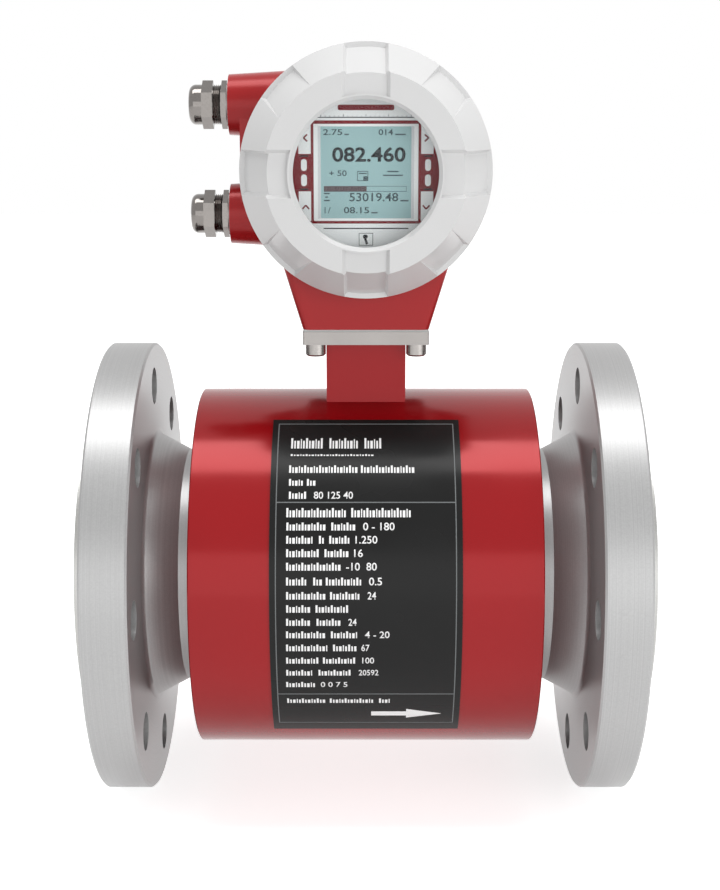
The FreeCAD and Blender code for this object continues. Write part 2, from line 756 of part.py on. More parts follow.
def add_web(body):
    """Flat web that joins the two bosses down the side of the drum."""
    web = new_sketch(body, "YZ_Plane", offset="-(boss_reach - web_step)")
    add_rectangle(web, "gland_high + gland_low", "web_depth", "(gland_high - gland_low) / 2")
    pad(body, web, "boss_reach - web_step - cavity_dia / 3")


def bore_boss(body, height):
    for diameter, depth in (("gland_thread + 2 * slip", "gland_thread_length + gland_washer"),
                            ("gland_bore", "boss_reach - cavity_dia / 3")):
        circle = new_sketch(body, "YZ_Plane", offset="-boss_reach")
        add_circle(circle, diameter, height)
        pocket(body, circle, depth, downward=False)


def make_housing():
    """Cast drum with two compartments, flared foot and two gland bosses."""
    body = new_body("converter_housing", turn=FRONT, position=(0, 0, "head_height"))
    add_skirt(body)
    revolve(body, [("0", "-drum_half"), ("drum_dia / 2", "-drum_half"),
                   ("drum_dia / 2", "drum_half"), ("0", "drum_half")])
    for height in ("gland_high", "-gland_low"):
        add_boss(body, height)
    add_web(body)
    for sign, floor in (("", "partition_front"), ("-", "partition_back")):
        step, mouth = f"{sign}(drum_half - thread_depth)", f"{sign}drum_half"
        groove(body, [("0", floor), ("cavity_dia / 2", floor), ("cavity_dia / 2", step),
                      ("thread_dia / 2", step), ("thread_dia / 2", mouth), ("0", mouth)])
    hollow = new_sketch(body, "XZ_Plane", offset="skirt_drop")
    add_rectangle(hollow, "skirt_cavity", "skirt_cavity")
    pocket(body, hollow, "skirt_cavity_height")
    feed = new_sketch(body, "XZ_Plane", offset="skirt_drop")
    add_circle(feed, "feed_hole", "0", "partition_front + feed_margin + feed_hole / 2")
    pocket(body, feed, "skirt_drop - cavity_dia / 2 + feed_hole / 2")
    threads = new_sketch(body, "XZ_Plane", offset="skirt_drop")
    for x_sign in ("", "-"):
        for y_sign in ("", "-"):
            add_circle(threads, "screw_dia + 2 * slip", f"{x_sign}screw_spacing / 2",
                       f"{y_sign}screw_spacing / 2")
    pocket(body, threads, "screw_length - collar_thick - gasket_thick + screw_spare")
    for height in ("gland_high", "-gland_low"):
        bore_boss(body, height)
    return body


keep(make_housing())


# ---------------------------------------------------------------------------
# Covers
# ---------------------------------------------------------------------------
def recess_bars(label, angle, face, face_dia, slope):
    """Four bars in a cross, with sides that lean outwards.

    A bar starts one recess depth below the floor of the recess, and each of its
    sides is padded with a taper that lifts its underside until it clears the cover.
    """
    deep = "(2 * lane_depth)"
    inset = f"({deep} * sqrt(1 + {slope} ^ 2))"
    above, beyond = f"{face} + 2 * overrun", "rim_dia / 2 + 2 * overrun"
    side_view = [("0", f"{face} - {deep}"),
                 (f"{face_dia} / 2 - {inset} + {deep} * {slope}", f"{face} - {deep}"),
                 (f"rim_dia / 2 - {inset} + overrun * {slope}", "rim_top - overrun"),
                 (beyond, "rim_top - overrun"), (beyond, above), ("0", above)]
    body = new_body(label, turn=(Vector(0, 0, 1), angle))
    middle = new_sketch(body, "XZ_Plane")
    add_outline(middle, side_view)
    pieces = [pad(body, middle, "lane_width - 2 * lane_flare", midplane=True)]
    for sign, downward in (("", False), ("-", True)):
        side = new_sketch(body, "XZ_Plane", offset=f"{sign}(lane_width / 2 - lane_flare)")
        add_outline(side, side_view)
        lean = pad(body, side, "3 * lane_flare", downward=downward)
        bind(lean, TaperAngle="-atan(lane_depth / lane_flare)")
        pieces.append(lean)
    doc.recompute()
    for piece in pieces:
        polar(body, piece, 4)
    return body


def cover_recesses(name, face, face_dia, hub_dia):
    """What is cut from a cover: four lanes across bevel and face, four on the bevel only.

    The lanes' floors keep their depth all the way, and the slanted ones run out
    at the edge of the face.
    """
    slope = f"((rim_dia - {face_dia}) / 2 / ({face} - rim_top))"
    inset = f"lane_depth * sqrt(1 + {slope} ^ 2)"
    above, beyond = f"{face} + overrun", "rim_dia / 2 + overrun"
    lane_floor = [(f"rim_dia / 2 - {inset}", "rim_top"),
                  (f"{face_dia} / 2 - {inset} + lane_depth * {slope}", f"{face} - lane_depth"),
                  (hub_dia + " / 2", f"{face} - lane_depth"), (hub_dia + " / 2", above)]
    bevel_floor = [(f"rim_dia / 2 - {inset}", "rim_top"), (f"{face_dia} / 2", face),
                   (f"{face_dia} / 2", above)]
    tools = []
    for kind, floor, angle in (("lanes", lane_floor, 0), ("corners", bevel_floor, 45)):
        skin = new_body(f"{name}_{kind}_skin")
        revolve(skin, floor + [(beyond, above), (beyond, "rim_top")])
        bars = recess_bars(f"{name}_{kind}_bars", angle, face, face_dia, slope)
        tool = doc.addObject("Part::Common", f"{name}_{kind}")
        tool.Base, tool.Tool = skin, bars
        tools.append(tool)
    return tools


SPIGOT = [("spigot_bore / 2", "drum_half - spigot_length"),
          ("spigot_r", "drum_half - spigot_length"), ("spigot_r", "drum_half - groove_width"),
          ("groove_floor", "drum_half - groove_width"), ("groove_floor", "drum_half"),
          ("rim_dia / 2", "drum_half"), ("rim_dia / 2", "rim_top")]


def finish_cover(label, blank, recesses, turn):
    """Cut the recesses into a cover and set it on its side of the housing."""
    first, second = recesses
    with_lanes = cut(label + "_lanes_cut", blank, first)
    cover = cut(label, with_lanes, second)
    place(cover, turn, (0, 0, "head_height"))
    return cover


def make_front_cover():
    """Screwed cover with a round window and eight recesses for a wrench."""
    blank = new_body("front_cover_blank")
    revolve(blank, SPIGOT + [("front_face_dia / 2", "front_face"), ("window_dia / 2", "front_face"),
                             ("window_dia / 2", "glass_seat"), ("glass_dia / 2", "glass_seat"),
                             ("glass_dia / 2", "glass_back - retainer_height"),
                             ("spigot_bore / 2", "rim_top")])
    dress(blank, "Chamfer", "window_chamfer",
          circle_at(radius=size("window_dia") / 2, height=blank.Shape.BoundBox.ZMax))
    hub = "(window_dia + 3 * window_chamfer)"
    recesses = cover_recesses("front_cover", "front_face", "front_face_dia", hub)
    return finish_cover("front_cover", blank, recesses, FRONT)


def make_rear_cover():
    """Blind screwed cover of the terminal compartment."""
    blank = new_body("rear_cover_blank")
    inner_face = "rear_face - lane_depth - cover_wall"
    revolve(blank, SPIGOT + [("rear_face_dia / 2", "rear_face"), ("0", "rear_face"),
                             ("0", inner_face), ("rear_face_dia / 2 - 2 * cover_wall", inner_face),
                             ("spigot_bore / 2", "rim_top")])
    recesses = cover_recesses("rear_cover", "rear_face", "rear_face_dia", "window_dia")
    return finish_cover("rear_cover", blank, recesses, REAR)


def make_cover_seal(label, turn):
    """O-ring under the rim of a cover."""
    body = new_body(label, turn=turn, position=(0, 0, "head_height"))
    section = new_sketch(body, "XZ_Plane")
    add_circle(section, "oring_section", "thread_dia / 2 - groove_slip - oring_section / 2",
               "drum_half - groove_width / 2")
    hoop = body.newObject("PartDesign::Revolution", "hoop")
    hoop.Profile = section
    hoop.ReferenceAxis = (origin_part(body, "Z_Axis"), [""])
    doc.recompute()
    return body


def head_ring(label, outer, inner, low, high, turn=FRONT):
    return ring(label, outer, inner, low, high, turn=turn, position=(0, 0, "head_height"))


def make_retainer():
    """Ring that holds the glass from inside, with two slots for a pin wrench."""
    body = head_ring("window_retainer", "glass_dia - 2 * slip", "retainer_bore",
                     "glass_back - retainer_height", "glass_back")
    slot = new_sketch(body, offset="glass_back - retainer_height")
    add_rectangle(slot, "glass_dia * 2", "retainer_height / 2")
    pocket(body, slot, "retainer_height / 2", downward=False)
    return body


keep(make_front_cover())
keep(make_cover_seal("front_cover_seal", FRONT))
keep(head_ring("window_seal", "glass_dia - 4 * slip", "window_dia + 1", "glass_front",
               "glass_seat"))
keep(head_ring("window_glass", "glass_dia - 4 * slip", "0", "glass_back", "glass_front"))
keep(make_retainer())
keep(make_rear_cover())
keep(make_cover_seal("rear_cover_seal", REAR))


# ---------------------------------------------------------------------------
# Display and boards in the front compartment
# ---------------------------------------------------------------------------
def head_body(label):
    return new_body(label, turn=FRONT, position=(0, 0, "head_height"))


def key_positions():
    """Places of the four optical keys, two beside each edge of the screen."""
    for x_sign in ("", "-"):
        for y_sign in ("", "-"):
            yield f"{x_sign}key_reach", f"{y_sign}key_spacing / 2"


def add_slot(sketch, half, top, x_text, y_text):
    """An upright long hole: two straight sides closed by half circles."""
    normal = Vector(0, 0, 1)
    upper = Part.Circle(Vector(0, 2, 0), normal, 1)
    lower = Part.Circle(Vector(0, -2, 0), normal, 1)
    first = sketch.addGeometry(Part.ArcOfCircle(upper, 0, math.pi))
    sketch.addGeometry(Part.LineSegment(Vector(-1, 2, 0), Vector(-1, -2, 0)))
    sketch.addGeometry(Part.ArcOfCircle(lower, math.pi, 2 * math.pi))
    sketch.addGeometry(Part.LineSegment(Vector(1, -2, 0), Vector(1, 2, 0)))
    for start, end in ((0, 1), (1, 2), (2, 3), (3, 0)):
        sketch.addConstraint(Sketcher.Constraint("Tangent", first + start, 2, first + end, 1))
    bind_point(sketch, first, 3, x_text, f"{y_text} + {top}")
    bind_point(sketch, first + 2, 3, x_text, f"{y_text} - {top}")
    sketch.addConstraint(Sketcher.Constraint("Equal", first, first + 2))
    radius = sketch.addConstraint(Sketcher.Constraint("Radius", first, 1.0))
    sketch.setExpression(f"Constraints[{radius}]", formula(half))


def make_bezel():
    """Cup-shaped cover of the display with openings for screen and keys."""
    body = head_body("display_bezel")
    wall = "bezel_dia / 2 - bezel_wall"
    revolve(body, [("0", "bezel_back"), (wall, "bezel_back"), (wall, "display_board_front"),
                   ("bezel_dia / 2", "display_board_front"), ("bezel_dia / 2", "bezel_face"),
                   ("0", "bezel_face")])
    opening = new_sketch(body, offset="bezel_face")
    add_rectangle(opening, "screen_width", "screen_height")
    pocket(body, opening, "bezel_wall")
    keys = new_sketch(body, offset="bezel_face")
    for x_text, y_text in key_positions():
        add_slot(keys, "key_width / 2", "(key_height - key_width) / 2", x_text, y_text)
    pocket(body, keys, "bezel_wall")
    return body


def make_lcd():
    """Screen module: a block on the display board whose glass fills the bezel's opening."""
    body = head_body("lcd_module")
    block = new_sketch(body, offset="display_board_front")
    add_rectangle(block, "screen_width + 2 * lcd_margin", "screen_height + 2 * lcd_margin")
    pad(body, block, "bezel_back - display_board_front")
    glass = new_sketch(body, offset="bezel_back")
    add_rectangle(glass, "screen_width - 2 * slip", "screen_height - 2 * slip")
    pad(body, glass, "bezel_wall * 3 / 4")
    return body


def make_key_lens(x_text, y_text, number):
    body = head_body(f"key_lens_{number}")
    sketch = new_sketch(body, offset="bezel_back")
    add_slot(sketch, "key_width / 2 - slip", "(key_height - key_width) / 2", x_text, y_text)
    pad(body, sketch, "bezel_wall")
    return body


def four_round_head(label, piece):
    """A piece repeated at the four pillars of the head."""
    pair = grouped(label + "_pair", [piece, mirrored(piece, label + "_left", Vector(1, 0, 0))])
    lower = mirrored(pair, label + "_lower", Vector(0, 0, 1), height="head_height")
    return grouped(label, [pair, lower])


def pillar_body(label):
    offset = "board_ring * sqrt(2) / 2"
    return new_body(label, turn=FRONT, position=(offset, 0, f"head_height + {offset}"))


def make_pillars(label, low, high):
    piece = pillar_body(label + "_piece")
    bore = "stud_dia / 2 + slip"
    revolve(piece, [(bore, low), ("pillar_dia / 2", low), ("pillar_dia / 2", high), (bore, high)])
    return four_round_head(label, piece)


def make_board_screws():
    """Long screws through the display board, the pillars and the main board."""
    piece = pillar_body("board_screw")
    top = "display_board_front"
    revolve(piece, [("0", "partition_front"), ("stud_dia / 2", "partition_front"),
                    ("stud_dia / 2", top), ("board_screw_head / 2", top),
                    ("board_screw_head / 2", f"{top} + stud_dia / 2"),
                    ("0", f"{top} + stud_dia / 2")])
    return four_round_head("board_screws", piece)


def pillar_holes(body, offset):
    holes = new_sketch(body, offset=offset)
    offset_text = "board_ring * sqrt(2) / 2"
    for x_sign in ("", "-"):
        for y_sign in ("", "-"):
            add_circle(holes, "stud_dia + 2 * slip", x_sign + offset_text, y_sign + offset_text)
    return holes


def make_main_board():
    """Round board with its transformer, relay and connectors."""
    body = head_body("main_board")
    disc = new_sketch(body, offset="main_board_back")
    add_circle(disc, "board_dia")
    pad(body, disc, "board_thick")
    pocket(body, pillar_holes(body, "main_board_front"), "board_thick")
    for width, height, x_text, y_text, rise in (
            ("board_dia / 5", "board_dia / 4", "-board_dia / 4", "0", "upper_pillar * 0.8"),
            ("board_dia / 6", "board_dia / 8", "board_dia / 6", "board_dia / 5", "upper_pillar / 2"),
            ("board_dia / 3", "board_dia / 12", "0", "-board_dia / 3", "upper_pillar * 0.6"),
            ("board_dia / 8", "board_dia / 8", "board_dia / 8", "0", "upper_pillar / 8")):
        part = new_sketch(body, offset="main_board_front")
        add_rectangle(part, width, height, x_text, y_text)
        pad(body, part, rise)
    return body


def make_display_board():
    body = head_body("display_board")
    disc = new_sketch(body, offset="display_board_back")
    add_circle(disc, "2 * board_ring + pillar_dia + board_thick")
    pad(body, disc, "board_thick")
    pocket(body, pillar_holes(body, "display_board_front"), "board_thick")
    return body


keep(make_bezel())
keep(make_lcd())
keep(grouped("key_lenses", [make_key_lens(x_text, y_text, number)
                            for number, (x_text, y_text) in enumerate(key_positions(), start=1)]))
keep(make_display_board())
keep(make_pillars("upper_pillars", "main_board_front", "display_board_back"))
keep(make_main_board())
keep(make_pillars("lower_pillars", "partition_front", "main_board_back"))
keep(make_board_screws())


# ---------------------------------------------------------------------------
# Terminals in the rear compartment
# ---------------------------------------------------------------------------
def make_terminal_board():
    body = head_body("terminal_board")
    plate = new_sketch(body, offset="terminal_board_back")
    add_rectangle(plate, "terminal_width", "terminal_height")
    pad(body, plate, "board_thick")
    return body


def make_terminal_pillars():
    offset = ("terminal_width / 2 - pillar_dia", "terminal_height / 2 - pillar_dia")
    piece = new_body("terminal_pillar_piece", turn=FRONT,
                     position=(offset[0], 0, f"head_height + {offset[1]}"))
    revolve(piece, [("0", "terminal_board_front"), ("pillar_dia / 2", "terminal_board_front"),
                    ("pillar_dia / 2", "partition_back"), ("0", "partition_back")])
    return four_round_head("terminal_pillars", piece)


def make_terminal_block():
    """Row of screw terminals with a wire entry and a screw hole for each."""
    body = new_body("terminal_block_right", turn=FRONT,
                    position=("terminal_width / 4", 0, "head_height"))
    shell = new_sketch(body, offset="terminal_board_back")
    length = "terminal_poles * pole_pitch"
    add_rectangle(shell, "block_width", length)
    pad(body, shell, "block_depth", downward=True)
    first = "(1 - terminal_poles) / 2 * pole_pitch"
    screw = new_sketch(body, offset="terminal_board_back - block_depth")
    add_circle(screw, "pole_pitch * 0.6", "-block_width / 5", first)
    screws = pocket(body, screw, "block_depth / 3", downward=False)
    entry = new_sketch(body, offset="terminal_board_back - block_depth")
    add_rectangle(entry, "block_width / 4", "pole_pitch * 0.6", "block_width / 4", first)
    entries = pocket(body, entry, "block_depth / 2", downward=False)
    for feature in (screws, entries):
        row = body.newObject("PartDesign::LinearPattern", "row")
        row.Originals = [feature]
        row.Direction = (origin_part(body, "Y_Axis"), [""])
        bind(row, Length="(terminal_poles - 1) * pole_pitch", Occurrences="terminal_poles")
        body.Tip = row
        doc.recompute()
    return body


keep(make_terminal_board())
keep(make_terminal_pillars())
terminal_block = keep(make_terminal_block())
keep(mirrored(terminal_block, "terminal_block_left", Vector(1, 0, 0)))


# ---------------------------------------------------------------------------
# Cable glands
# ---------------------------------------------------------------------------
def nut_height(body):
    """Distance of a gland piece's tip from the head's axis."""
    return -body.Shape.BoundBox.XMin


def make_gland(side, height):
    """Every piece of one cable gland; heights are counted out from the head's axis."""
    where = {"turn": INLET_SIDE, "position": (0, 0, height)}
    foot, top = "gland_seat - gland_thread_length", "gland_nut_foot + gland_screw_length"
    throat, claw_r = "gland_bore / 2", "gland_screw_r - gland_claw_wall"
    claw_foot = "gland_nut_foot"

    keep(ring(f"gland_washer_{side}", "gland_hex", "gland_thread + 2 * slip", "boss_reach",
              "gland_seat", **where))

    body = new_body(f"gland_body_{side}", **where)
    revolve(body, [(throat, foot), ("gland_thread / 2", foot), ("gland_thread / 2", "gland_seat"),
                   ("gland_collar_dia / 2", "gland_seat"),
                   ("gland_collar_dia / 2", "gland_nut_foot"), ("gland_screw_r", "gland_nut_foot"),
                   ("gland_screw_r", top), (claw_r, top), (claw_r, claw_foot),
                   (throat, claw_foot)])
    flats = new_sketch(body, offset="gland_seat")
    add_hexagon(flats, "gland_hex")
    add_circle(flats, "gland_collar_dia - hex_overlap")
    pad(body, flats, "gland_hex_height")
    keep(body)

    ring_r = f"{claw_r} - slip"
    claws = new_body(f"gland_claws_{side}", **where)
    revolve(claws, [(f"{ring_r} - gland_claw_wall", claw_foot), (ring_r, claw_foot),
                    (ring_r, f"{top} + claw_reach / 2"),
                    (f"{ring_r} - claw_tip", f"{top} + claw_reach"),
                    (f"{ring_r} - gland_claw_wall", f"{top} + claw_reach")])
    slit = new_sketch(claws, "XZ_Plane")
    add_rectangle(slit, "gland_dome_dia", "claw_reach", "gland_dome_dia / 2",
                  f"{top} + claw_reach / 2")
    slits = pocket(claws, slit, "claw_slit", midplane=True)
    polar(claws, slits, "claw_count")
    keep(claws)

    keep(ring(f"gland_bush_{side}", f"2 * ({ring_r} - gland_claw_wall - slip)",
              "gland_seal_bore", claw_foot, f"{top} + claw_reach / 2", **where))

    nut = new_body(f"gland_nut_{side}", **where)
    roof = f"{top} + claw_reach + slip"
    revolve(nut, [("gland_screw_r + slip", "gland_nut_foot"),
                  ("gland_dome_dia / 2", "gland_nut_foot"), ("gland_dome_dia / 2", "gland_tip"),
                  ("gland_mouth / 2", "gland_tip"), ("gland_mouth / 2", roof),
                  ("gland_screw_r + slip", roof)])
    dress(nut, "Fillet", "gland_dome / 2",
          circle_at(radius=size("gland_dome_dia") / 2, height=nut_height(nut)))
    flats = new_sketch(nut, offset="gland_nut_foot")
    add_hexagon(flats, "gland_hex")
    add_circle(flats, "gland_dome_dia - hex_overlap")
    pad(nut, flats, "gland_nut_hex")
    keep(nut)


make_gland("upper", "head_height + gland_high")
make_gland("lower", "head_height - gland_low")


# ---------------------------------------------------------------------------
# Check and write
# ---------------------------------------------------------------------------
doc.recompute()
for thing in doc.Objects:
    if {"Invalid", "Error"} & set(thing.State):
        raise RuntimeError(f"{thing.Label} is {thing.State}")
for node in nodes:
    if node.Shape.isNull() or not node.Shape.isValid():
        raise RuntimeError(f"{node.Label} has no valid shape")

os.makedirs("parts", exist_ok=True)
for node in nodes:
    node.Shape.exportStep(f"parts/{node.Label}.step")
print(len(nodes), "sub-parts written")
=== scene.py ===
# %% [markdown]
# # Electromagnetic flow meter
#
# A flow meter of this kind has no moving part in the water. Two coils under the
# red shell make a magnetic field across the pipe, and two small electrodes pick
# up the voltage that the moving water makes. The converter head on top works it
# out and shows it.
#
# The rigid solids come from the CAD model, already in place. This script gives
# each of them a finish, and models what is too fine for the solids: the inks on
# the display and the plate, the thread of the cable glands and the welds.

# %% Load the solids
import math

import bpy
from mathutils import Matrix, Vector


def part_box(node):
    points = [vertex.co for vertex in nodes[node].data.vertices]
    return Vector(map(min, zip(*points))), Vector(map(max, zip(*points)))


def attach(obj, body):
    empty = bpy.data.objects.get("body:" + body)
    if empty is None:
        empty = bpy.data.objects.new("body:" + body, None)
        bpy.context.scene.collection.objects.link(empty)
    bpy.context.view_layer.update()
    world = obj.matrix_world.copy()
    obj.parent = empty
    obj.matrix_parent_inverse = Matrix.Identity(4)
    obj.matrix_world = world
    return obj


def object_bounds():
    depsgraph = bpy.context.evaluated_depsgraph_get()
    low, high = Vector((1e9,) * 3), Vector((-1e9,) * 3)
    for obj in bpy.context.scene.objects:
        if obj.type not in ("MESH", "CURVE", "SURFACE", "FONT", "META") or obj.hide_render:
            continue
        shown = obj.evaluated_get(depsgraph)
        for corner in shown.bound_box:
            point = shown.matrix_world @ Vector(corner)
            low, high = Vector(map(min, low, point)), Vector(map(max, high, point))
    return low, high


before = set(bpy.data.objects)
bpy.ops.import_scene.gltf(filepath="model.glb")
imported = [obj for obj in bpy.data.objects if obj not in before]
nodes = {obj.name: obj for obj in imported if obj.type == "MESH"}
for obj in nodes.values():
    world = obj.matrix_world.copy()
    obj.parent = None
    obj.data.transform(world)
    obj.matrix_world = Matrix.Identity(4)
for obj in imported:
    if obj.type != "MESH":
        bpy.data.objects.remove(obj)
cad_low, cad_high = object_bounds()
MM = 0.001
ORIGIN = (0, 0, 0)
WHITE = "#FFFFFF"
print(len(nodes), "solids between", tuple(cad_low), "and", tuple(cad_high))

# %% [markdown]
# ## Measuring on the solids
#
# Everything that is drawn later is placed from the solids' own boxes, so that it
# still fits if a size of the meter changes. Lengths are named here once, in
# millimetres from the pipe's axis, as on a drawing.

# %% Sizes read from the solids
def box_mm(node):
    """Lowest and highest corner of a solid in millimetres."""
    low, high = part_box(node)
    return low / MM, high / MM


cover_low, cover_high = box_mm("front_cover")
HEAD_Z = (cover_low.z + cover_high.z) / 2
BEZEL_Y = box_mm("display_bezel")[0].y
SCREEN_Y = box_mm("lcd_module")[0].y
FLOOR_Z = cad_low.z
print("head axis", HEAD_Z, "bezel", BEZEL_Y, "screen", SCREEN_Y)

# %% [markdown]
# ## Camera
#
# The meter is seen from the front and a little from above, from about 0.8 m, with
# a lens long enough to keep both flanges nearly round. The camera stands on the
# plane of symmetry and only tips down. A very small sideways shift frames it.

# %% Camera
CAMERA_PLACE = (0.0, -0.7578, 0.2267)
CAMERA_TILT = 12.38
LENS = 63.62
SIDE_SHIFT = -0.0067

camera_data = bpy.data.cameras.new("camera")
camera_data.lens = LENS
camera_data.shift_x = SIDE_SHIFT
camera = bpy.data.objects.new("camera", camera_data)
camera.location = CAMERA_PLACE
camera.rotation_euler = (math.radians(90 - CAMERA_TILT), 0, 0)
bpy.context.scene.collection.objects.link(camera)
bpy.context.scene.camera = camera
bpy.context.scene.view_settings.view_transform = "Standard"
print("camera at", CAMERA_PLACE, "lens", LENS)

# %% [markdown]
# ## Building materials
#
# A material here is a small network of nodes round one Principled shader. One
# helper turns a colour as it is written on screen into the linear numbers that
# light is reckoned in, and one adds a node with its settings and its links. Three
# more let a pattern drive the shader's colour, its gloss or its relief. Patterns
# read Object coordinates, which are the frame's metres, so a scale follows from a
# real size: one over the size of the grain.

# %% Helpers for materials
MIX_FACTOR, MIX_DARK, MIX_LIGHT, MIX_RESULT = 0, 6, 7, 2  # the Mix node's colour sockets
NOISE_LOW, NOISE_HIGH = 0.3, 0.7  # nearly all of a noise lies between these


def linear(code):
    """Turn an sRGB hex colour into linear red, green, blue and alpha."""
    shares = [int(code[i:i + 2], 16) / 255 for i in (1, 3, 5)]
    return [s / 12.92 if s <= 0.04045 else ((s + 0.055) / 1.055) ** 2.4 for s in shares] + [1.0]


def add_node(tree, kind, settings=None, inputs=None):
    """Add a node, set its properties, and fill its sockets with numbers or with links."""
    node = tree.nodes.new("ShaderNode" + kind)
    for name, value in (settings or {}).items():
        setattr(node, name, value)
    for socket, value in (inputs or {}).items():
        if isinstance(value, bpy.types.NodeSocket):
            tree.links.new(value, node.inputs[socket])
        else:
            node.inputs[socket].default_value = value
    return node


def start_material(name, **constants):
    """A new material: its tree, its shader with constants set, and the place on the object."""
    material = bpy.data.materials.new(name)
    material.use_nodes = True
    tree = material.node_tree
    shader = tree.nodes["Principled BSDF"]
    for socket, value in constants.items():
        shader.inputs[socket.replace("_", " ")].default_value = value
    place = add_node(tree, "TexCoord").outputs["Object"]
    return material, tree, shader, place


def colour_surface(tree, shader, pattern, dark, light):
    """Let a pattern colour the surface between two sRGB shades."""
    mix = add_node(tree, "Mix", {"data_type": "RGBA"}, {
        MIX_FACTOR: pattern, MIX_DARK: linear(dark), MIX_LIGHT: linear(light)})
    tree.links.new(mix.outputs[MIX_RESULT], shader.inputs["Base Color"])


def vary_gloss(tree, shader, pattern, smooth, rough):
    """Let a noise vary the surface between two roughnesses."""
    gloss = add_node(tree, "MapRange", {}, {
        "Value": pattern, "From Min": NOISE_LOW, "From Max": NOISE_HIGH,
        "To Min": smooth, "To Max": rough})
    tree.links.new(gloss.outputs["Result"], shader.inputs["Roughness"])


def raise_surface(tree, shader, height, depth_mm):
    """Let a height pattern raise the surface by so many millimetres."""
    bump = add_node(tree, "Bump", {}, {
        "Strength": 1.0, "Distance": depth_mm * MM, "Height": height})
    tree.links.new(bump.outputs["Normal"], shader.inputs["Normal"])
    return bump


print("helpers ready")

# %% [markdown]
# ## Paint
#
# The shell, the neck and the head's casting carry a glossy baked enamel. Enamel
# never dries quite flat: it keeps a gentle orange peel, with waves a few
# millimetres long and a few thousandths high, which makes reflections swim. The
# red holds a little metal flake, so that even its highlights stay red. On
# the casting the rougher metal shows through as a second, finer wave. The
# casting's red is painted a touch lighter than the shell's: painted light that
# offsets the shade the cover throws on the head's foot. The covers have the same
# kind of enamel in a pale silver grey.

# %% Enamel
CLOUD_MM, FINE_WAVE_MM = 40, 0.9
SMEAR_SMOOTH, SMEAR_ROUGH = 0.8, 1.25


def make_enamel(name, dark, light, peel_mm, peel_depth, roughness, gloss, grain_depth, flake=0.0):
    """Baked enamel: two close shades in soft clouds, orange peel, gloss, and some metal flake."""
    material, tree, shader, place = start_material(
        name, Roughness=roughness, IOR=1.5, Specular_IOR_Level=gloss, Metallic=flake)
    clouds = add_node(tree, "TexNoise", {}, {
        "Vector": place, "Scale": 1 / (CLOUD_MM * MM), "Detail": 3.0})
    peel = add_node(tree, "TexNoise", {}, {
        "Vector": place, "Scale": 1 / (peel_mm * MM), "Detail": 1.0})
    grain = add_node(tree, "TexNoise", {}, {
        "Vector": place, "Scale": 1 / (FINE_WAVE_MM * MM), "Detail": 2.0})
    colour_surface(tree, shader, clouds.outputs["Fac"], dark, light)
    vary_gloss(tree, shader, clouds.outputs["Fac"], roughness * SMEAR_SMOOTH, roughness * SMEAR_ROUGH)
    first = add_node(tree, "Bump", {}, {
        "Strength": 1.0, "Distance": peel_depth * MM, "Height": peel.outputs["Fac"]})
    second = raise_surface(tree, shader, grain.outputs["Fac"], grain_depth)
    tree.links.new(first.outputs["Normal"], second.inputs["Normal"])
    return material


red_enamel = make_enamel("red_enamel", "#930D13", "#980F15", 4.0, 0.003, 0.16, 0.30, 0.0004, 0.20)
# The casting's red is lighter than the shell's: painted light, to offset the shade under the cover.
red_cast_enamel_lightened_for_shade = make_enamel(
    "red_cast_enamel_lightened_for_shade", "#99171A", "#9E1A1D", 2.5, 0.005, 0.22, 0.28, 0.001, 0.12)
silver_enamel = make_enamel("silver_enamel", "#CDCDCD", "#D1D1D1", 3.0, 0.003, 0.20, 0.40, 0.0006)
print("enamels:", red_enamel.name, red_cast_enamel_lightened_for_shade.name, silver_enamel.name)

# %% [markdown]
# ## Turned and polished metal
#
# A flange is turned on a lathe, which leaves fine circles round its axis, and
# small specks sparkle between them. A noise reads the distance to the axis plus
# the place along it, and nothing else. So it gives rings of uneven width, on the
# faces and on the rim alike, as a real tool does. Fastener heads, rings and the
# polished nickel of the glands are made the same way, with finer rings.

# %% Turned metal
SPECK_MM = 0.7
TONE_LOW, TONE_HIGH = 0.12, 0.38  # nearly all of a product of two noises lies between these


def make_turned(name, dark, light, roughness, spread, ring_mm, ring_depth, metallic=1.0):
    """Turned metal: rings round the pipe's axis, and small specks between them."""
    material, tree, shader, place = start_material(name, Metallic=metallic, Roughness=roughness)
    parts = add_node(tree, "SeparateXYZ", {}, {"Vector": place})
    across = add_node(tree, "CombineXYZ", {}, {"Y": parts.outputs["Y"], "Z": parts.outputs["Z"]})
    radius = add_node(tree, "VectorMath", {"operation": "LENGTH"}, {0: across.outputs["Vector"]})
    along = add_node(tree, "Math", {"operation": "ADD"}, {
        0: radius.outputs["Value"], 1: parts.outputs["X"]})
    rings = add_node(tree, "TexNoise", {"noise_dimensions": "1D"}, {
        "W": along.outputs["Value"], "Scale": 1 / (ring_mm * MM), "Detail": 2.0})
    specks = add_node(tree, "TexNoise", {}, {
        "Vector": place, "Scale": 1 / (SPECK_MM * MM), "Detail": 2.0})
    blend = add_node(tree, "Math", {"operation": "MULTIPLY"}, {
        0: rings.outputs["Fac"], 1: specks.outputs["Fac"]})
    tone = add_node(tree, "MapRange", {}, {
        "Value": blend.outputs["Value"], "From Min": TONE_LOW, "From Max": TONE_HIGH})
    colour_surface(tree, shader, tone.outputs["Result"], dark, light)
    vary_gloss(tree, shader, specks.outputs["Fac"], roughness - spread, roughness + spread)
    raise_surface(tree, shader, rings.outputs["Fac"], ring_depth)
    return material


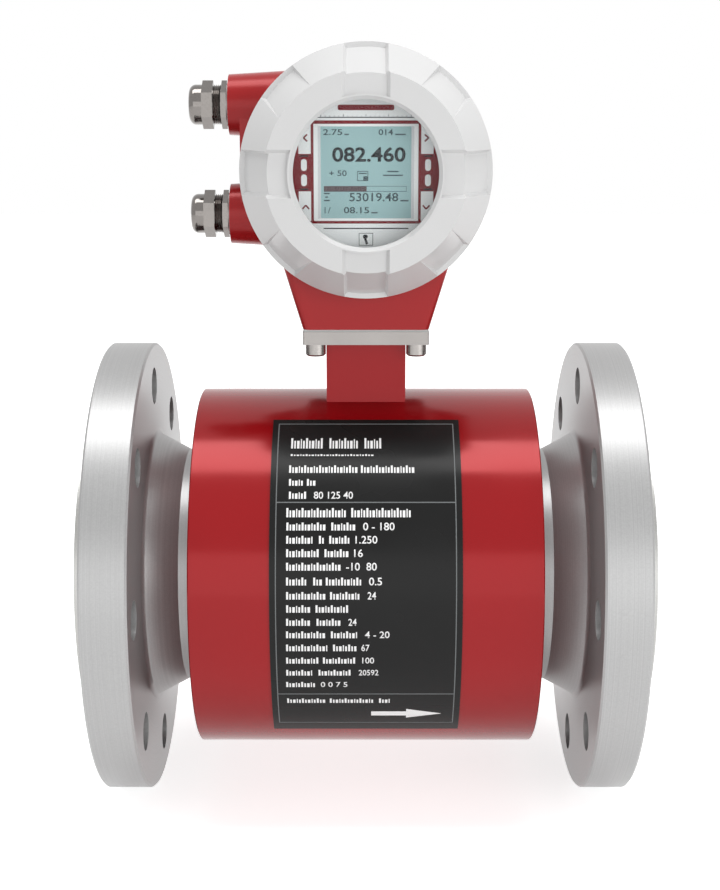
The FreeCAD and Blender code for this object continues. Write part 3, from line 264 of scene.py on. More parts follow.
flange_steel = make_turned(
    "turned_stainless_steel", "#9F9F9F", "#A9A9A9", 0.36, 0.03, 0.6, 0.0010, 0.60)
ring_steel = make_turned("ground_stainless_ring", "#A4A4A2", "#B2B2B0", 0.34, 0.05, 0.4, 0.001)
pipe_steel = make_turned("drawn_stainless_pipe", "#A8A8A6", "#B8B8B6", 0.35, 0.08, 0.8, 0.003)
screw_steel = make_turned("polished_stainless_screw", "#928E8B", "#9C9895", 0.24, 0.03, 0.3, 0.0006)
nickel_plate = make_turned("nickel_plated_brass", "#76726F", "#817D7A", 0.09, 0.02, 0.35, 0.0002)
small_steel = make_turned("zinc_plated_steel", "#A5A7A8", "#BCBEBF", 0.30, 0.08, 0.3, 0.002)
electrode_alloy = make_turned("nickel_alloy_electrode", "#9E9A94", "#B0ACA6", 0.22, 0.05, 0.2, 0.001)
print("turned metals ready")

# %% [markdown]
# ## Cast, rolled and wound metal
#
# The square collar is a casting that was blasted and left bare: matt, with a fine
# even grain. The cores of the magnet are soft iron, darker and a little scaly.
# The windings are enamelled copper wire, laid side by side in layers. Their ribs
# are drawn about six wires wide, since one wire is too fine to show. Each rib is
# painted dark in its groove and light on its crest: painted shade and highlight.

# %% Blasted metal and windings
STAIN_MM = 12
BLASTED_SPREAD = 0.06
SUM_LOW, SUM_HIGH = 0.7, 1.3  # nearly all of a sum of two noises lies between these
WIRE_MM, WAVE_RATE = 1.0, 20  # a wave's rib is 2 pi over its rate wide, in wires


def make_blasted(name, dark, light, roughness, grain_mm, grain_depth, metallic=1.0):
    """Blasted or scaled metal: an even grain of small dents."""
    material, tree, shader, place = start_material(name, Metallic=metallic, Roughness=roughness)
    grain = add_node(tree, "TexNoise", {}, {
        "Vector": place, "Scale": 1 / (grain_mm * MM), "Detail": 3.0})
    stains = add_node(tree, "TexNoise", {}, {
        "Vector": place, "Scale": 1 / (STAIN_MM * MM), "Detail": 3.0})
    both = add_node(tree, "Math", {"operation": "ADD"}, {
        0: grain.outputs["Fac"], 1: stains.outputs["Fac"]})
    tone = add_node(tree, "MapRange", {}, {
        "Value": both.outputs["Value"], "From Min": SUM_LOW, "From Max": SUM_HIGH})
    colour_surface(tree, shader, tone.outputs["Result"], dark, light)
    vary_gloss(tree, shader, grain.outputs["Fac"],
               roughness - BLASTED_SPREAD, roughness + BLASTED_SPREAD)
    raise_surface(tree, shader, grain.outputs["Fac"], grain_depth)
    return material


collar_alloy = make_blasted("blasted_aluminium", "#9B9794", "#A39F9C", 0.42, 0.5, 0.003, 0.55)
core_iron = make_blasted("soft_iron", "#55524F", "#6B6763", 0.48, 0.8, 0.010)


def make_winding():
    """Enamelled copper wire in tight turns, with the gloss of its varnish."""
    material, tree, shader, place = start_material(
        "enamelled_copper_wire", Metallic=0.75, Roughness=0.32, Coat_Weight=0.4)
    turns = add_node(tree, "TexWave", {"bands_direction": "Z", "wave_profile": "SIN"}, {
        "Vector": place, "Scale": 1 / (WIRE_MM * MM) / WAVE_RATE, "Distortion": 0.4, "Detail": 1.0})
    # Dark copper in the grooves and light copper on the crests, following the relief: painted shade
    # and painted highlight.
    colour_surface(tree, shader, turns.outputs["Fac"], "#5E2F16", "#B4672F")
    raise_surface(tree, shader, turns.outputs["Fac"], 0.25)
    return material


copper_winding = make_winding()
print("cores and windings ready")

# %% [markdown]
# ## Plastics and rubbers
#
# Moulded parts take their surface from the mould: a fine even texture, a soft
# gloss and hardly any change of colour. Rubber is rougher and takes up dust.
# The liner and the insulators are a milky fluoroplastic with a waxy sheen.

# %% Moulded plastics and rubber
SHEEN_MM = 15
SHEEN_SMOOTH, SHEEN_ROUGH = 0.88, 1.12


def make_moulded(name, dark, light, roughness, grain_mm, grain_depth, **more):
    """Moulded plastic or rubber with the fine texture of its mould."""
    material, tree, shader, place = start_material(name, Roughness=roughness, IOR=1.5, **more)
    grain = add_node(tree, "TexVoronoi", {"feature": "SMOOTH_F1"}, {
        "Vector": place, "Scale": 1 / (grain_mm * MM)})
    clouds = add_node(tree, "TexNoise", {}, {
        "Vector": place, "Scale": 1 / (SHEEN_MM * MM), "Detail": 3.0})
    colour_surface(tree, shader, clouds.outputs["Fac"], dark, light)
    vary_gloss(tree, shader, clouds.outputs["Fac"], roughness * SHEEN_SMOOTH, roughness * SHEEN_ROUGH)
    raise_surface(tree, shader, grain.outputs["Distance"], grain_depth)
    return material


bezel_plastic = make_moulded(
    "bezel_polycarbonate", "#F9F9F9", "#FCFCFC", 0.42, 0.5, 0.002, Specular_IOR_Level=0.2)
key_plastic = make_moulded("key_window_acrylic", "#F1F1F1", "#F8F8F8", 0.18, 0.8, 0.001)
insulator = make_moulded("glass_filled_nylon", "#D9D4C6", "#E3DECF", 0.45, 0.4, 0.004)
terminal_plastic = make_moulded("terminal_polyamide", "#2E6B45", "#357650", 0.40, 0.4, 0.004)
seal_rubber = make_moulded("nitrile_rubber", "#1B1B1C", "#262627", 0.55, 0.35, 0.006)
# The gasket's pale grey is partly its own colour and partly a painted highlight along the collar's top
# edge.
gasket_rubber = make_moulded("pale_silicone_gasket_and_painted_highlight", "#B6B9B7", "#BFC2C0", 0.60, 0.3, 0.003)
liner_plastic = make_moulded(
    "fluoroplastic_liner", "#E6E4DC", "#EFEDE6", 0.33, 1.2, 0.003, Subsurface_Weight=0.08)
print("plastics ready")

# %% [markdown]
# ## Circuit boards
#
# A board is glass cloth and resin under a green lacquer. Copper tracks lift the
# lacquer a little and look lighter through it. They run mostly up and across, so
# a brick pattern of small rectangles stands for them.

# %% Circuit boards
UPRIGHT = (math.radians(90), 0, 0)
TRACK_LONG, TRACK_TALL, TRACK_GAP = 4.5, 1.9, 0.25


def make_board():
    """Green solder lacquer over copper tracks and glass cloth."""
    material, tree, shader, place = start_material(
        "green_solder_lacquer", Roughness=0.30, Coat_Weight=0.3)
    turned = add_node(tree, "Mapping", {}, {"Vector": place, "Rotation": UPRIGHT})
    tracks = add_node(tree, "TexBrick", {"offset": 0.35, "squash": 0.6, "squash_frequency": 3}, {
        "Vector": turned.outputs["Vector"], "Scale": 1.0, "Color1": linear("#1D6B45"),
        "Color2": linear("#195C3B"), "Mortar": linear("#2E8A5C"), "Mortar Size": TRACK_GAP * MM,
        "Brick Width": TRACK_LONG * MM, "Row Height": TRACK_TALL * MM})
    tree.links.new(tracks.outputs["Color"], shader.inputs["Base Color"])
    raise_surface(tree, shader, tracks.outputs["Fac"], 0.03)
    return material


board_lacquer = make_board()
print(board_lacquer.name)

# %% [markdown]
# ## Screen and window
#
# The screen is a reflective liquid crystal panel with no lamp: a grey green field
# made of square dots about a third of a millimetre wide, under a thin polished
# film. The window in front of it is toughened glass with a coating that takes away
# most of its reflections, for which a low index of refraction stands. Lamps have
# to reach the screen through it, so for shadow rays and for diffuse rays the glass
# is simply clear.

# %% Screen and window
DOT, DOT_GAP = 0.35, 0.04
FILM_WAVE_MM = 25


def make_screen():
    """Liquid crystal panel: a faint grid of square dots on grey green."""
    material, tree, shader, place = start_material(
        "liquid_crystal_panel", Roughness=0.32, IOR=1.5, Specular_IOR_Level=0.12)
    turned = add_node(tree, "Mapping", {}, {"Vector": place, "Rotation": UPRIGHT})
    dots = add_node(tree, "TexBrick", {"offset": 0.0, "squash": 1.0}, {
        "Vector": turned.outputs["Vector"], "Scale": 1.0, "Color1": linear("#A7C7C9"),
        "Color2": linear("#A4C4C6"), "Mortar": linear("#9DBDBF"), "Mortar Size": DOT_GAP * MM,
        "Brick Width": DOT * MM, "Row Height": DOT * MM})
    tree.links.new(dots.outputs["Color"], shader.inputs["Base Color"])
    raise_surface(tree, shader, dots.outputs["Fac"], 0.004)
    return material


def make_glass():
    """Toughened glass that lets lamps through."""
    material, tree, shader, place = start_material(
        "toughened_glass", Base_Color=linear("#FDFEFE"), Roughness=0.02, IOR=1.2,
        Transmission_Weight=1.0)
    film = add_node(tree, "TexNoise", {}, {
        "Vector": place, "Scale": 1 / (FILM_WAVE_MM * MM), "Detail": 2.0})
    raise_surface(tree, shader, film.outputs["Fac"], 0.0008)
    path = add_node(tree, "LightPath")
    clear = add_node(tree, "BsdfTransparent", {}, {"Color": linear("#FAFCFC")})
    rays = add_node(tree, "Math", {"operation": "MAXIMUM"}, {
        0: path.outputs["Is Shadow Ray"], 1: path.outputs["Is Diffuse Ray"]})
    choice = add_node(tree, "MixShader", {}, {
        0: rays.outputs["Value"], 1: shader.outputs["BSDF"], 2: clear.outputs["BSDF"]})
    tree.links.new(choice.outputs["Shader"], tree.nodes["Material Output"].inputs["Surface"])
    return material


screen_panel = make_screen()
window_glass = make_glass()
print(screen_panel.name, window_glass.name)

# %% [markdown]
# ## Plate and inks
#
# The black plate is anodised aluminium sheet with a glossy varnish, printed in
# white. Ink is a thin film with a slightly uneven edge and a dull gloss. One
# function makes all the inks, since only their colour differs.

# %% Plate and inks
MESH_MM = 0.6


def make_ink(name, dark, light, roughness=0.45):
    """Screen printing ink: a thin even film with a trace of the mesh in it."""
    material, tree, shader, place = start_material(
        name, Roughness=roughness, IOR=1.5, Specular_IOR_Level=0.12)
    mesh = add_node(tree, "TexNoise", {}, {
        "Vector": place, "Scale": 1 / (MESH_MM * MM), "Detail": 2.0})
    colour_surface(tree, shader, mesh.outputs["Fac"], dark, light)
    raise_surface(tree, shader, mesh.outputs["Fac"], 0.002)
    return material


black_plate = make_enamel(
    "varnished_black_sheet", "#171717", "#1D1D1D", 6.0, 0.002, 0.24, 0.16, 0.0003)
plate_white = make_ink("white_ink", "#ECECEC", "#F6F6F6", 0.40)
plate_grey = make_ink("grey_ink", "#6C6F70", "#7A7D7E", 0.45)
maroon_ink = make_ink("maroon_ink", "#7B1B23", "#852129", 0.35)
dark_ink = make_ink("black_ink", "#27272A", "#303033", 0.40)
pale_ink = make_ink("pale_grey_ink", "#DADADC", "#E2E2E4", 0.40)
bright_ink = make_ink("bright_white_ink", "#F6F6F6", "#FCFCFC", 0.35)
segment_dark = make_ink("dark_segments", "#34383B", "#3C4043", 0.30)
segment_soft = make_ink("soft_segments", "#4A5A5E", "#526268", 0.30)
segment_brown = make_ink("bar_segments", "#5E5155", "#66585C", 0.30)
print("plate and inks ready")

# %% [markdown]
# ## Giving each solid its finish
#
# Each solid comes in with a plain material that bears the name of its slot in the
# record. A table from slot to finish is all that is needed, and the loop below
# fails loudly if a slot has none.

# %% Finishes by slot
FINISH = {
    "red_steel": red_enamel, "red_casting": red_cast_enamel_lightened_for_shade, "grey_casting": silver_enamel,
    "flange_steel": flange_steel, "ring_steel": ring_steel, "pipe_steel": pipe_steel,
    "screw_steel": screw_steel, "nickel": nickel_plate, "small_steel": small_steel,
    "electrode_alloy": electrode_alloy, "collar_steel": collar_alloy, "core_iron": core_iron,
    "winding": copper_winding, "bezel_plastic": bezel_plastic, "key_lens": key_plastic,
    "insulator": insulator, "terminal_plastic": terminal_plastic, "seal_rubber": seal_rubber,
    "gasket_rubber": gasket_rubber, "ptfe": liner_plastic, "board": board_lacquer,
    "lcd": screen_panel, "glass": window_glass, "black_plate": black_plate,
}
for solid in nodes.values():
    for place in solid.material_slots:
        place.material = FINISH[place.material.name]
print(len(nodes), "solids finished in", len(FINISH), "materials")

# %% [markdown]
# ## Modelling by operators
#
# New pieces are modelled as by hand: a primitive is added at its place, edited,
# and finished with modifiers. An operator works on everything selected, so each
# step starts by selecting nothing. Printed marks are flat shapes that face the
# reader. They are joined by ink, given the thickness of a film, and set on their
# surface.

# %% Helpers for modelling
def select_nothing():
    """Leave edit mode and deselect everything."""
    if bpy.context.object and bpy.context.object.mode != "OBJECT":
        bpy.ops.object.mode_set(mode="OBJECT")
    bpy.ops.object.select_all(action="DESELECT")


def select_only(piece):
    """Select one piece and make it the active one."""
    select_nothing()
    piece.select_set(True)
    bpy.context.view_layer.objects.active = piece


def set_in_mesh(piece):
    """Put the piece's place, turn and size into its mesh."""
    select_only(piece)
    bpy.ops.object.transform_apply(location=True, rotation=True, scale=True)


def apply_modifier(piece, kind, **settings):
    """Add one modifier with its settings and apply it."""
    select_only(piece)
    modifier = piece.modifiers.new(kind.lower(), kind)
    for name, value in settings.items():
        setattr(modifier, name, value)
    bpy.ops.object.modifier_apply(modifier=modifier.name)


def join_as(name, parts):
    """Join several pieces into one and name it."""
    select_nothing()
    for part in parts:
        part.select_set(True)
    bpy.context.view_layer.objects.active = parts[0]
    if len(parts) > 1:
        bpy.ops.object.join()
    parts[0].name = name
    parts[0].data.name = name
    return parts[0]


def hand_over(piece, material, body):
    """Give a finished piece its material and the body it rides on."""
    piece.data.materials.clear()
    piece.data.materials.append(material)
    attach(piece, body)
    print(piece.name, len(piece.data.polygons), "faces")


CORNER_STEPS = 5
LETTER_STEPS = 4


def add_bar(left, low, right, high, corner=0.0, lean=0.0):
    """A flat bar that faces the reader, with its corners rounded and leaning to the right."""
    middle = ((left + right) / 2 * MM, 0, (low + high) / 2 * MM)
    select_nothing()
    bpy.ops.mesh.primitive_plane_add(size=1, location=middle, rotation=UPRIGHT)
    bar = bpy.context.object
    bar.scale = ((right - left) * MM, (high - low) * MM, 1)
    set_in_mesh(bar)
    bpy.ops.object.mode_set(mode="EDIT")
    bpy.ops.mesh.select_all(action="SELECT")
    if corner:
        bpy.ops.mesh.bevel(offset=corner * MM, segments=CORNER_STEPS, affect="VERTICES")
    if lean:
        bpy.ops.transform.rotate(
            value=math.radians(lean), orient_axis="Y", center_override=middle)
    bpy.ops.object.mode_set(mode="OBJECT")
    return bar


def add_border(left, low, right, high, line):
    """A rectangular line, made by insetting a plane and opening its middle."""
    border = add_bar(left, low, right, high)
    bpy.ops.object.mode_set(mode="EDIT")
    bpy.ops.mesh.select_mode(type="FACE")
    bpy.ops.mesh.select_all(action="SELECT")
    bpy.ops.mesh.inset(thickness=line * MM)
    bpy.ops.mesh.delete(type="FACE")
    bpy.ops.object.mode_set(mode="OBJECT")
    return border


def add_figures(text, left, low, right, high, weight=0.0):
    """Plain figures fitted into a rectangle, as a mesh that faces the reader."""
    select_nothing()
    bpy.ops.object.text_add(location=ORIGIN, rotation=ORIGIN)
    figures = bpy.context.object
    figures.data.body = text
    figures.data.offset = weight
    figures.data.resolution_u = LETTER_STEPS
    bpy.ops.object.convert(target="MESH")
    figures = bpy.context.object
    corners = [vertex.co for vertex in figures.data.vertices]
    start_x, end_x = min(c.x for c in corners), max(c.x for c in corners)
    start_y, end_y = min(c.y for c in corners), max(c.y for c in corners)
    stretch_x = (right - left) * MM / (end_x - start_x)
    stretch_y = (high - low) * MM / (end_y - start_y)
    figures.scale = (stretch_x, stretch_y, 1)
    figures.location = (left * MM - start_x * stretch_x, low * MM - start_y * stretch_y, 0)
    set_in_mesh(figures)
    figures.rotation_euler = UPRIGHT
    set_in_mesh(figures)
    return figures


FILM = 0.04
STAGGER, STAGGER_STEPS = 0.004, 8


def stagger(marks):
    """Set each mark a trifle in front of the one before, so that no two faces fall together."""
    for index, mark in enumerate(marks):
        mark.location = (0, -STAGGER * (index % STAGGER_STEPS) * MM, 0)
        set_in_mesh(mark)


def lay_on_head(name, marks, surface, material):
    """Join marks drawn about the head's axis, lay them on a surface and make them a film."""
    stagger(marks)
    piece = join_as(name, marks)
    piece.location = (0, surface * MM, HEAD_Z * MM)
    set_in_mesh(piece)
    apply_modifier(piece, "SOLIDIFY", thickness=FILM * MM, offset=1.0)
    hand_over(piece, material, "meter")


print("modelling helpers ready")

# %% [markdown]
# ## Bezel print
#
# Behind the window a round bezel frames the screen. It is printed in maroon: a
# frame with a wider line above and below, and at each side a segment of a circle
# with a block for two optical keys. The segments are cut from a disc with straight
# cuts, as they would be cut from film. Names that a maker would print above and
# below the screen are left off: plain rules stand there.

# %% Maroon frame and side segments
FRAME_X, FRAME_Z, LINE = 24.5, 22.5, 1.2
FOOT_REACH, TOP_REACH = 1.5, 0.3
ART_R, ART_STEPS = 34.5, 160
BLOCK_Z, TAB_X, SEGMENT_Z = 8.2, 30.0, 14.8
OVERLAP = 0.2


def add_segment(side, inner_x, half_height):
    """The part of a disc beyond inner_x on one side and within a height, by three straight cuts."""
    select_nothing()
    bpy.ops.mesh.primitive_circle_add(
        vertices=ART_STEPS, radius=ART_R * MM, fill_type="NGON", location=ORIGIN, rotation=UPRIGHT)
    disc = bpy.context.object
    set_in_mesh(disc)
    bpy.ops.object.mode_set(mode="EDIT")
    cuts = [((side * inner_x * MM, 0, 0), (-side, 0, 0)),
            ((0, 0, half_height * MM), (0, 0, 1)),
            ((0, 0, -half_height * MM), (0, 0, -1))]
    for point, outwards in cuts:
        bpy.ops.mesh.select_all(action="SELECT")
        bpy.ops.mesh.bisect(plane_co=point, plane_no=outwards, clear_outer=True)
    bpy.ops.object.mode_set(mode="OBJECT")
    return disc


maroon_marks = [
    add_border(-FRAME_X, -FRAME_Z, FRAME_X, FRAME_Z, LINE),
    add_bar(-FRAME_X - FOOT_REACH, -FRAME_Z, FRAME_X + FOOT_REACH, -FRAME_Z + LINE, 0.3),
    add_bar(-FRAME_X - TOP_REACH, FRAME_Z - LINE, FRAME_X + TOP_REACH, FRAME_Z + TOP_REACH, 0.5),
]
for side in (-1, 1):
    maroon_marks.append(add_segment(side, FRAME_X - OVERLAP, BLOCK_Z))
    maroon_marks.append(add_segment(side, TAB_X, SEGMENT_Z))
lay_on_head("bezel_print_maroon", maroon_marks, BEZEL_Y, maroon_ink)

# %% [markdown]
# Four small arrows stand at the corners, above and below the keys. Each is two
# short strokes that meet at a point. One is drawn and turned by quarter turns.
# Every key has a white light, and a dark mark stands above and below each pair.
# The touch sign under the screen is a framed fingertip.

# %% Arrows, key marks and the touch sign
STROKE_HALF, STROKE_THIN, STROKE_ROUND = 1.15, 0.34, 0.2
STROKE_LEAN, STROKE_RISE = 42, 0.75
ARROW_X, ARROW_Z = 26.9, 15.2
KEY_X, KEY_Z, KEY_HALF_X, KEY_HALF_Z = 27.6, 3.35, 1.3, 2.6
KEY_MARK_Z, KEY_MARK_HALF, KEY_MARK_THIN = 7.3, 1.9, 0.35
TOUCH_LOW, TOUCH_HIGH, TOUCH_X = -32.3, -26.7, 3.2


def add_arrow(x, z, quarter):
    """An open arrow of two strokes, pointing right and then turned by quarter turns."""
    strokes = [add_bar(-STROKE_HALF, -STROKE_THIN, STROKE_HALF, STROKE_THIN, STROKE_ROUND, lean)
               for lean in (STROKE_LEAN, -STROKE_LEAN)]
    for stroke, rise in zip(strokes, (-STROKE_RISE, STROKE_RISE)):
        stroke.location = (0, 0, rise * MM)
        set_in_mesh(stroke)
    arrow = join_as("arrow", strokes)
    arrow.rotation_euler = (0, math.radians(90 * quarter), 0)
    set_in_mesh(arrow)
    arrow.location = (x * MM, 0, z * MM)
    set_in_mesh(arrow)
    return arrow


arrows = [add_arrow(-ARROW_X, ARROW_Z, 2), add_arrow(ARROW_X, ARROW_Z, 0),
          add_arrow(-ARROW_X, -ARROW_Z, 3), add_arrow(ARROW_X, -ARROW_Z, 1)]
lay_on_head("bezel_arrows", arrows, BEZEL_Y, maroon_ink)

dark_marks = [add_bar(x - KEY_MARK_HALF, z - KEY_MARK_THIN, x + KEY_MARK_HALF, z + KEY_MARK_THIN, 0.3)
              for x in (-KEY_X, KEY_X) for z in (-KEY_MARK_Z, KEY_MARK_Z)]
lay_on_head("bezel_key_marks", dark_marks, BEZEL_Y - FILM, dark_ink)

key_lights = [add_bar(x - KEY_HALF_X, z - KEY_HALF_Z, x + KEY_HALF_X, z + KEY_HALF_Z, 1.25)
              for x in (-KEY_X, KEY_X) for z in (-KEY_Z, KEY_Z)]
lay_on_head("bezel_key_lights", key_lights, BEZEL_Y - 2 * FILM, bright_ink)

touch_marks = [
    add_border(-TOUCH_X, TOUCH_LOW, TOUCH_X, TOUCH_HIGH, 0.25),
    add_bar(-1.4, -29.2, 0.8, -27.4, 0.85),
    add_bar(-0.5, -31.8, 0.55, -28.7, 0.3, 18),
]
lay_on_head("bezel_touch_sign", touch_marks, BEZEL_Y, dark_ink)

# %% [markdown]
# A scale with ticks runs above the screen, every fifth tick longer, with a maroon
# stripe over it, and a plain rule runs below.

# %% Rules above and below the screen
TICKS, TICK_STEP, TICK_THIN = 21, 2.0, 0.12
FIRST_TICK, LONG_TICK, SHORT_TICK = -20.0, 1.1, 0.6
rule_marks = [add_bar(-21.5, 23.9, 21.5, 24.3)]
for step in range(TICKS):
    reach = LONG_TICK if step % 5 == 0 else SHORT_TICK
    x = FIRST_TICK + TICK_STEP * step
    rule_marks.append(add_bar(x - TICK_THIN, 24.2, x + TICK_THIN, 24.3 + reach))
rule_marks.append(add_bar(-19.0, -24.9, 19.0, -24.4))
lay_on_head("bezel_rules", rule_marks, BEZEL_Y, dark_ink)
lay_on_head("bezel_stripe", [add_bar(-12.5, 27.2, 12.5, 29.6, 0.8)], BEZEL_Y, maroon_ink)

# %% [markdown]
# Between the maroon frame and the screen lie a white margin and, at each side, a
# narrow grey strip.

# %% White and grey margins round the screen
EDGE_X, STRIP_X, STRIP_Z = 20.25, 21.4, 20.3
MARGIN_X, MARGIN_Z, MARGIN_LINE = FRAME_X - LINE, FRAME_Z - LINE, 1.0
white_marks = [
    add_border(-MARGIN_X, -MARGIN_Z, MARGIN_X, MARGIN_Z, MARGIN_LINE),
    add_bar(-MARGIN_X, -MARGIN_Z, -STRIP_X, MARGIN_Z), add_bar(STRIP_X, -MARGIN_Z, MARGIN_X, MARGIN_Z),
]
lay_on_head("bezel_white_margin", white_marks, BEZEL_Y, bright_ink)
grey_marks = [
    add_bar(-STRIP_X, -STRIP_Z, -EDGE_X, STRIP_Z), add_bar(EDGE_X, -STRIP_Z, STRIP_X, STRIP_Z)]
lay_on_head("bezel_grey_strips", grey_marks, BEZEL_Y - FILM, pale_ink)

# %% [markdown]
# ## What the screen shows
#
# The screen shows plain figures: the flow rate, large, a half filled bar that
# gives it as a share of the range, and the total below. Units and words are
# short bars. The figures are text turned to a mesh and fitted into the
# rectangle that they fill on the screen. Every mark is given by its left, lower,
# right and upper edge, and then by a weight, a line or a rounding.

# %% Screen figures
rate_marks = [add_figures("082.460", -15.0, 4.7, 17.6, 11.2, 0.022)]
lay_on_head("screen_rate", rate_marks, SCREEN_Y, segment_dark)

soft_marks = [
    add_figures("2.75", -19.0, 16.4, -10.5, 19.0, 0.012), add_bar(-9.6, 16.4, -7.6, 17.0, 0.1),
    add_figures("014", 5.6, 16.4, 12.0, 19.0, 0.012), add_bar(13.0, 16.4, 17.6, 17.0, 0.1),
    add_figures("+ 50", -16.4, -1.5, -8.6, 1.0, 0.014), add_bar(7.6, -1.5, 16.5, -0.9, 0.1),
    add_bar(9.5, 0.2, 14.5, 0.8, 0.1),
    add_border(-3.9, -3.7, 1.0, 0.7, 0.3), add_bar(-1.2, -3.4, 0.7, -1.6, 0.2),
    add_bar(-3.2, -0.6, 0.3, -0.1, 0.1),
    add_figures("53019.48", -7.4, -12.7, 14.4, -8.9, 0.010), add_bar(15.4, -12.7, 19.0, -12.0, 0.1),
    add_bar(-18.8, -12.6, -16.2, -12.0, 0.1), add_bar(-18.8, -9.5, -16.2, -8.9, 0.1),
    add_bar(-18.2, -11.1, -17.0, -10.5, 0.1),
    add_bar(-18.5, -18.0, -18.1, -15.2),
    add_bar(-16.6, -18.0, -16.25, -15.2, 0.0, -18),
    add_figures("08.15", -9.9, -18.0, 1.4, -15.2, 0.012), add_bar(2.4, -18.0, 5.2, -17.4, 0.1),
    add_border(-18.8, -8.4, 18.1, -5.9, 0.2),
]
lay_on_head("screen_small_figures", soft_marks, SCREEN_Y, segment_soft)
bar_marks = [add_bar(-18.7, -8.3, 0.3, -6.0)]
lay_on_head("screen_bar", bar_marks, SCREEN_Y - FILM, segment_brown)

# %% [markdown]
# ## Plate print
#
# The plate is bent round the shell. Its print is drawn flat, as the printer does,
# and then wrapped: height on the drawing becomes an angle round the shell. Long
# lines are cut into short pieces first, so that they follow the curve. A real
# plate names its maker and the order. Here words are rows of short bars, and
# only plain figures and the flow arrow are kept.

# %% Wrapping on the shell
plate_low, plate_high = box_mm("nameplate")
PLATE_R = -plate_low.y
top_angle = math.asin(plate_high.z / PLATE_R)
low_angle = math.asin(plate_low.z / PLATE_R)
MID_ANGLE = (top_angle + low_angle) / 2
HALF_ARC = (top_angle - low_angle) / 2 * PLATE_R
INK = 0.06
PLATE_CUTS = 60
LETTER_WEIGHT = 0.012
print("plate radius", PLATE_R, "half height along the arc", HALF_ARC)


def wrap_on_plate(name, marks, material, cuts=0):
    """Join flat marks and bend them round the plate, standing proud by the film of ink."""
    stagger(marks)
    piece = join_as(name, marks)
    if cuts:
        bpy.ops.object.mode_set(mode="EDIT")
        for step in range(1, cuts):
            height = (-HALF_ARC + 2 * HALF_ARC * step / cuts) * MM
            bpy.ops.mesh.select_all(action="SELECT")
            bpy.ops.mesh.bisect(plane_co=(0, 0, height), plane_no=(0, 0, 1))
        bpy.ops.object.mode_set(mode="OBJECT")
    apply_modifier(piece, "SOLIDIFY", thickness=INK * MM, offset=1.0)
    for vertex in piece.data.vertices:
        radius = PLATE_R * MM - vertex.co.y
        angle = MID_ANGLE + vertex.co.z / (PLATE_R * MM)
        vertex.co = (vertex.co.x, -radius * math.cos(angle), radius * math.sin(angle))
    hand_over(piece, material, "meter")


# %% [markdown]
# A thin grey border runs round the plate, and two grey lines divide it. The flow
# arrow stands in its lowest part.

# %% Border, dividers and arrow
BORDER_X, BORDER_LOW, BORDER_LINE, TOP_MARGIN = 40.6, -78.7, 0.45, 3.2
DIVIDERS, DIVIDER_LINE = (37.4, -55.9), 0.5
SHAFT_LONG, SHAFT_HALF = 17.0, 1.7
POINT_START, POINT_HALF = 16.2, 3.7
border_marks = [add_border(-BORDER_X, BORDER_LOW, BORDER_X, HALF_ARC - TOP_MARGIN, BORDER_LINE)]
border_marks += [add_bar(-BORDER_X, low, BORDER_X, low + DIVIDER_LINE) for low in DIVIDERS]
wrap_on_plate("plate_border", border_marks, plate_grey, cuts=PLATE_CUTS)


def add_flow_arrow(left, right, middle):
    """The arrow that shows which way the liquid runs: a shaft and a long point."""
    shaft = add_bar(left, middle - SHAFT_HALF, left + SHAFT_LONG, middle + SHAFT_HALF)
    select_nothing()
    bpy.ops.mesh.primitive_circle_add(vertices=3, radius=1, fill_type="NGON", rotation=UPRIGHT)
    point = bpy.context.object
    set_in_mesh(point)
    corners = ((left + POINT_START, middle - POINT_HALF), (left + POINT_START, middle + POINT_HALF),
               (right, middle))
    from_below = sorted(point.data.vertices, key=lambda v: v.co.z)
    for vertex, (x, z) in zip(from_below, corners):
        vertex.co = (x * MM, 0, z * MM)
    return [shaft, point]


wrap_on_plate("plate_arrow", add_flow_arrow(2.4, 35.0, -70.3), plate_white, cuts=PLATE_CUTS)

# %% [markdown]
# The rows are listed from top to bottom. A word is a row of narrow upright
# strokes, and where a row ends in a number, plain figures follow.

# %% Rows of print
WORDS = [
    # middle height, letter height, left edge, widths of the words, figures
    (69.3, 6.4, -34.4, (16.0, 14.5, 8.5), None),
    (62.2, 1.0, -34.4, (38.5,), None),
    (54.4, 4.0, -34.9, (31.0, 25.0), None),
    (47.5, 3.4, -34.8, (6.5, 4.0), None),
    (41.1, 3.5, -34.7, (9.0,), "80 125 40"),
    (32.8, 4.3, -35.7, (27.5, 28.0), None),
    (26.4, 3.6, -35.6, (18.5, 12.0), "0 - 180"),
    (20.4, 3.5, -35.6, (13.0, 3.0, 9.5), "1.250"),
    (14.4, 3.5, -35.6, (15.5, 11.0), "16"),
    (8.4, 3.5, -35.6, (24.5,), "-10  80"),
    (1.8, 3.5, -35.6, (10.5, 4.0, 17.0), "0.5"),
    (-4.6, 3.4, -35.6, (18.0, 14.5), "24"),
    (-10.6, 3.4, -35.6, (11.5, 16.0), None),
    (-16.8, 3.3, -35.7, (12.0, 12.0), "24"),
    (-22.8, 3.3, -35.8, (18.5, 13.0), "4 - 20"),
    (-29.3, 3.3, -35.9, (19.5, 10.5), "67"),
    (-35.9, 3.2, -36.0, (15.0, 15.5), "100"),
    (-42.6, 3.2, -36.1, (13.0, 16.0), "20592"),
    (-49.6, 3.1, -36.3, (13.5,), "0 0 7 5"),
    (-60.3, 3.1, -36.2, (18.0, 21.0, 6.0), None),
]
FIGURE_WIDTH = 0.56  # of a figure's height
STROKE_TALL = (1.0, 0.74, 0.74, 0.9, 0.74)
STROKE_WIDE = (0.9, 0.7, 1.15, 0.5, 0.8)
STROKE_GAP, WORD_GAP, FIGURE_GAP = 0.55, 1.6, 0.6
WORD_END = 1.0  # a word gets no more strokes this near to its end


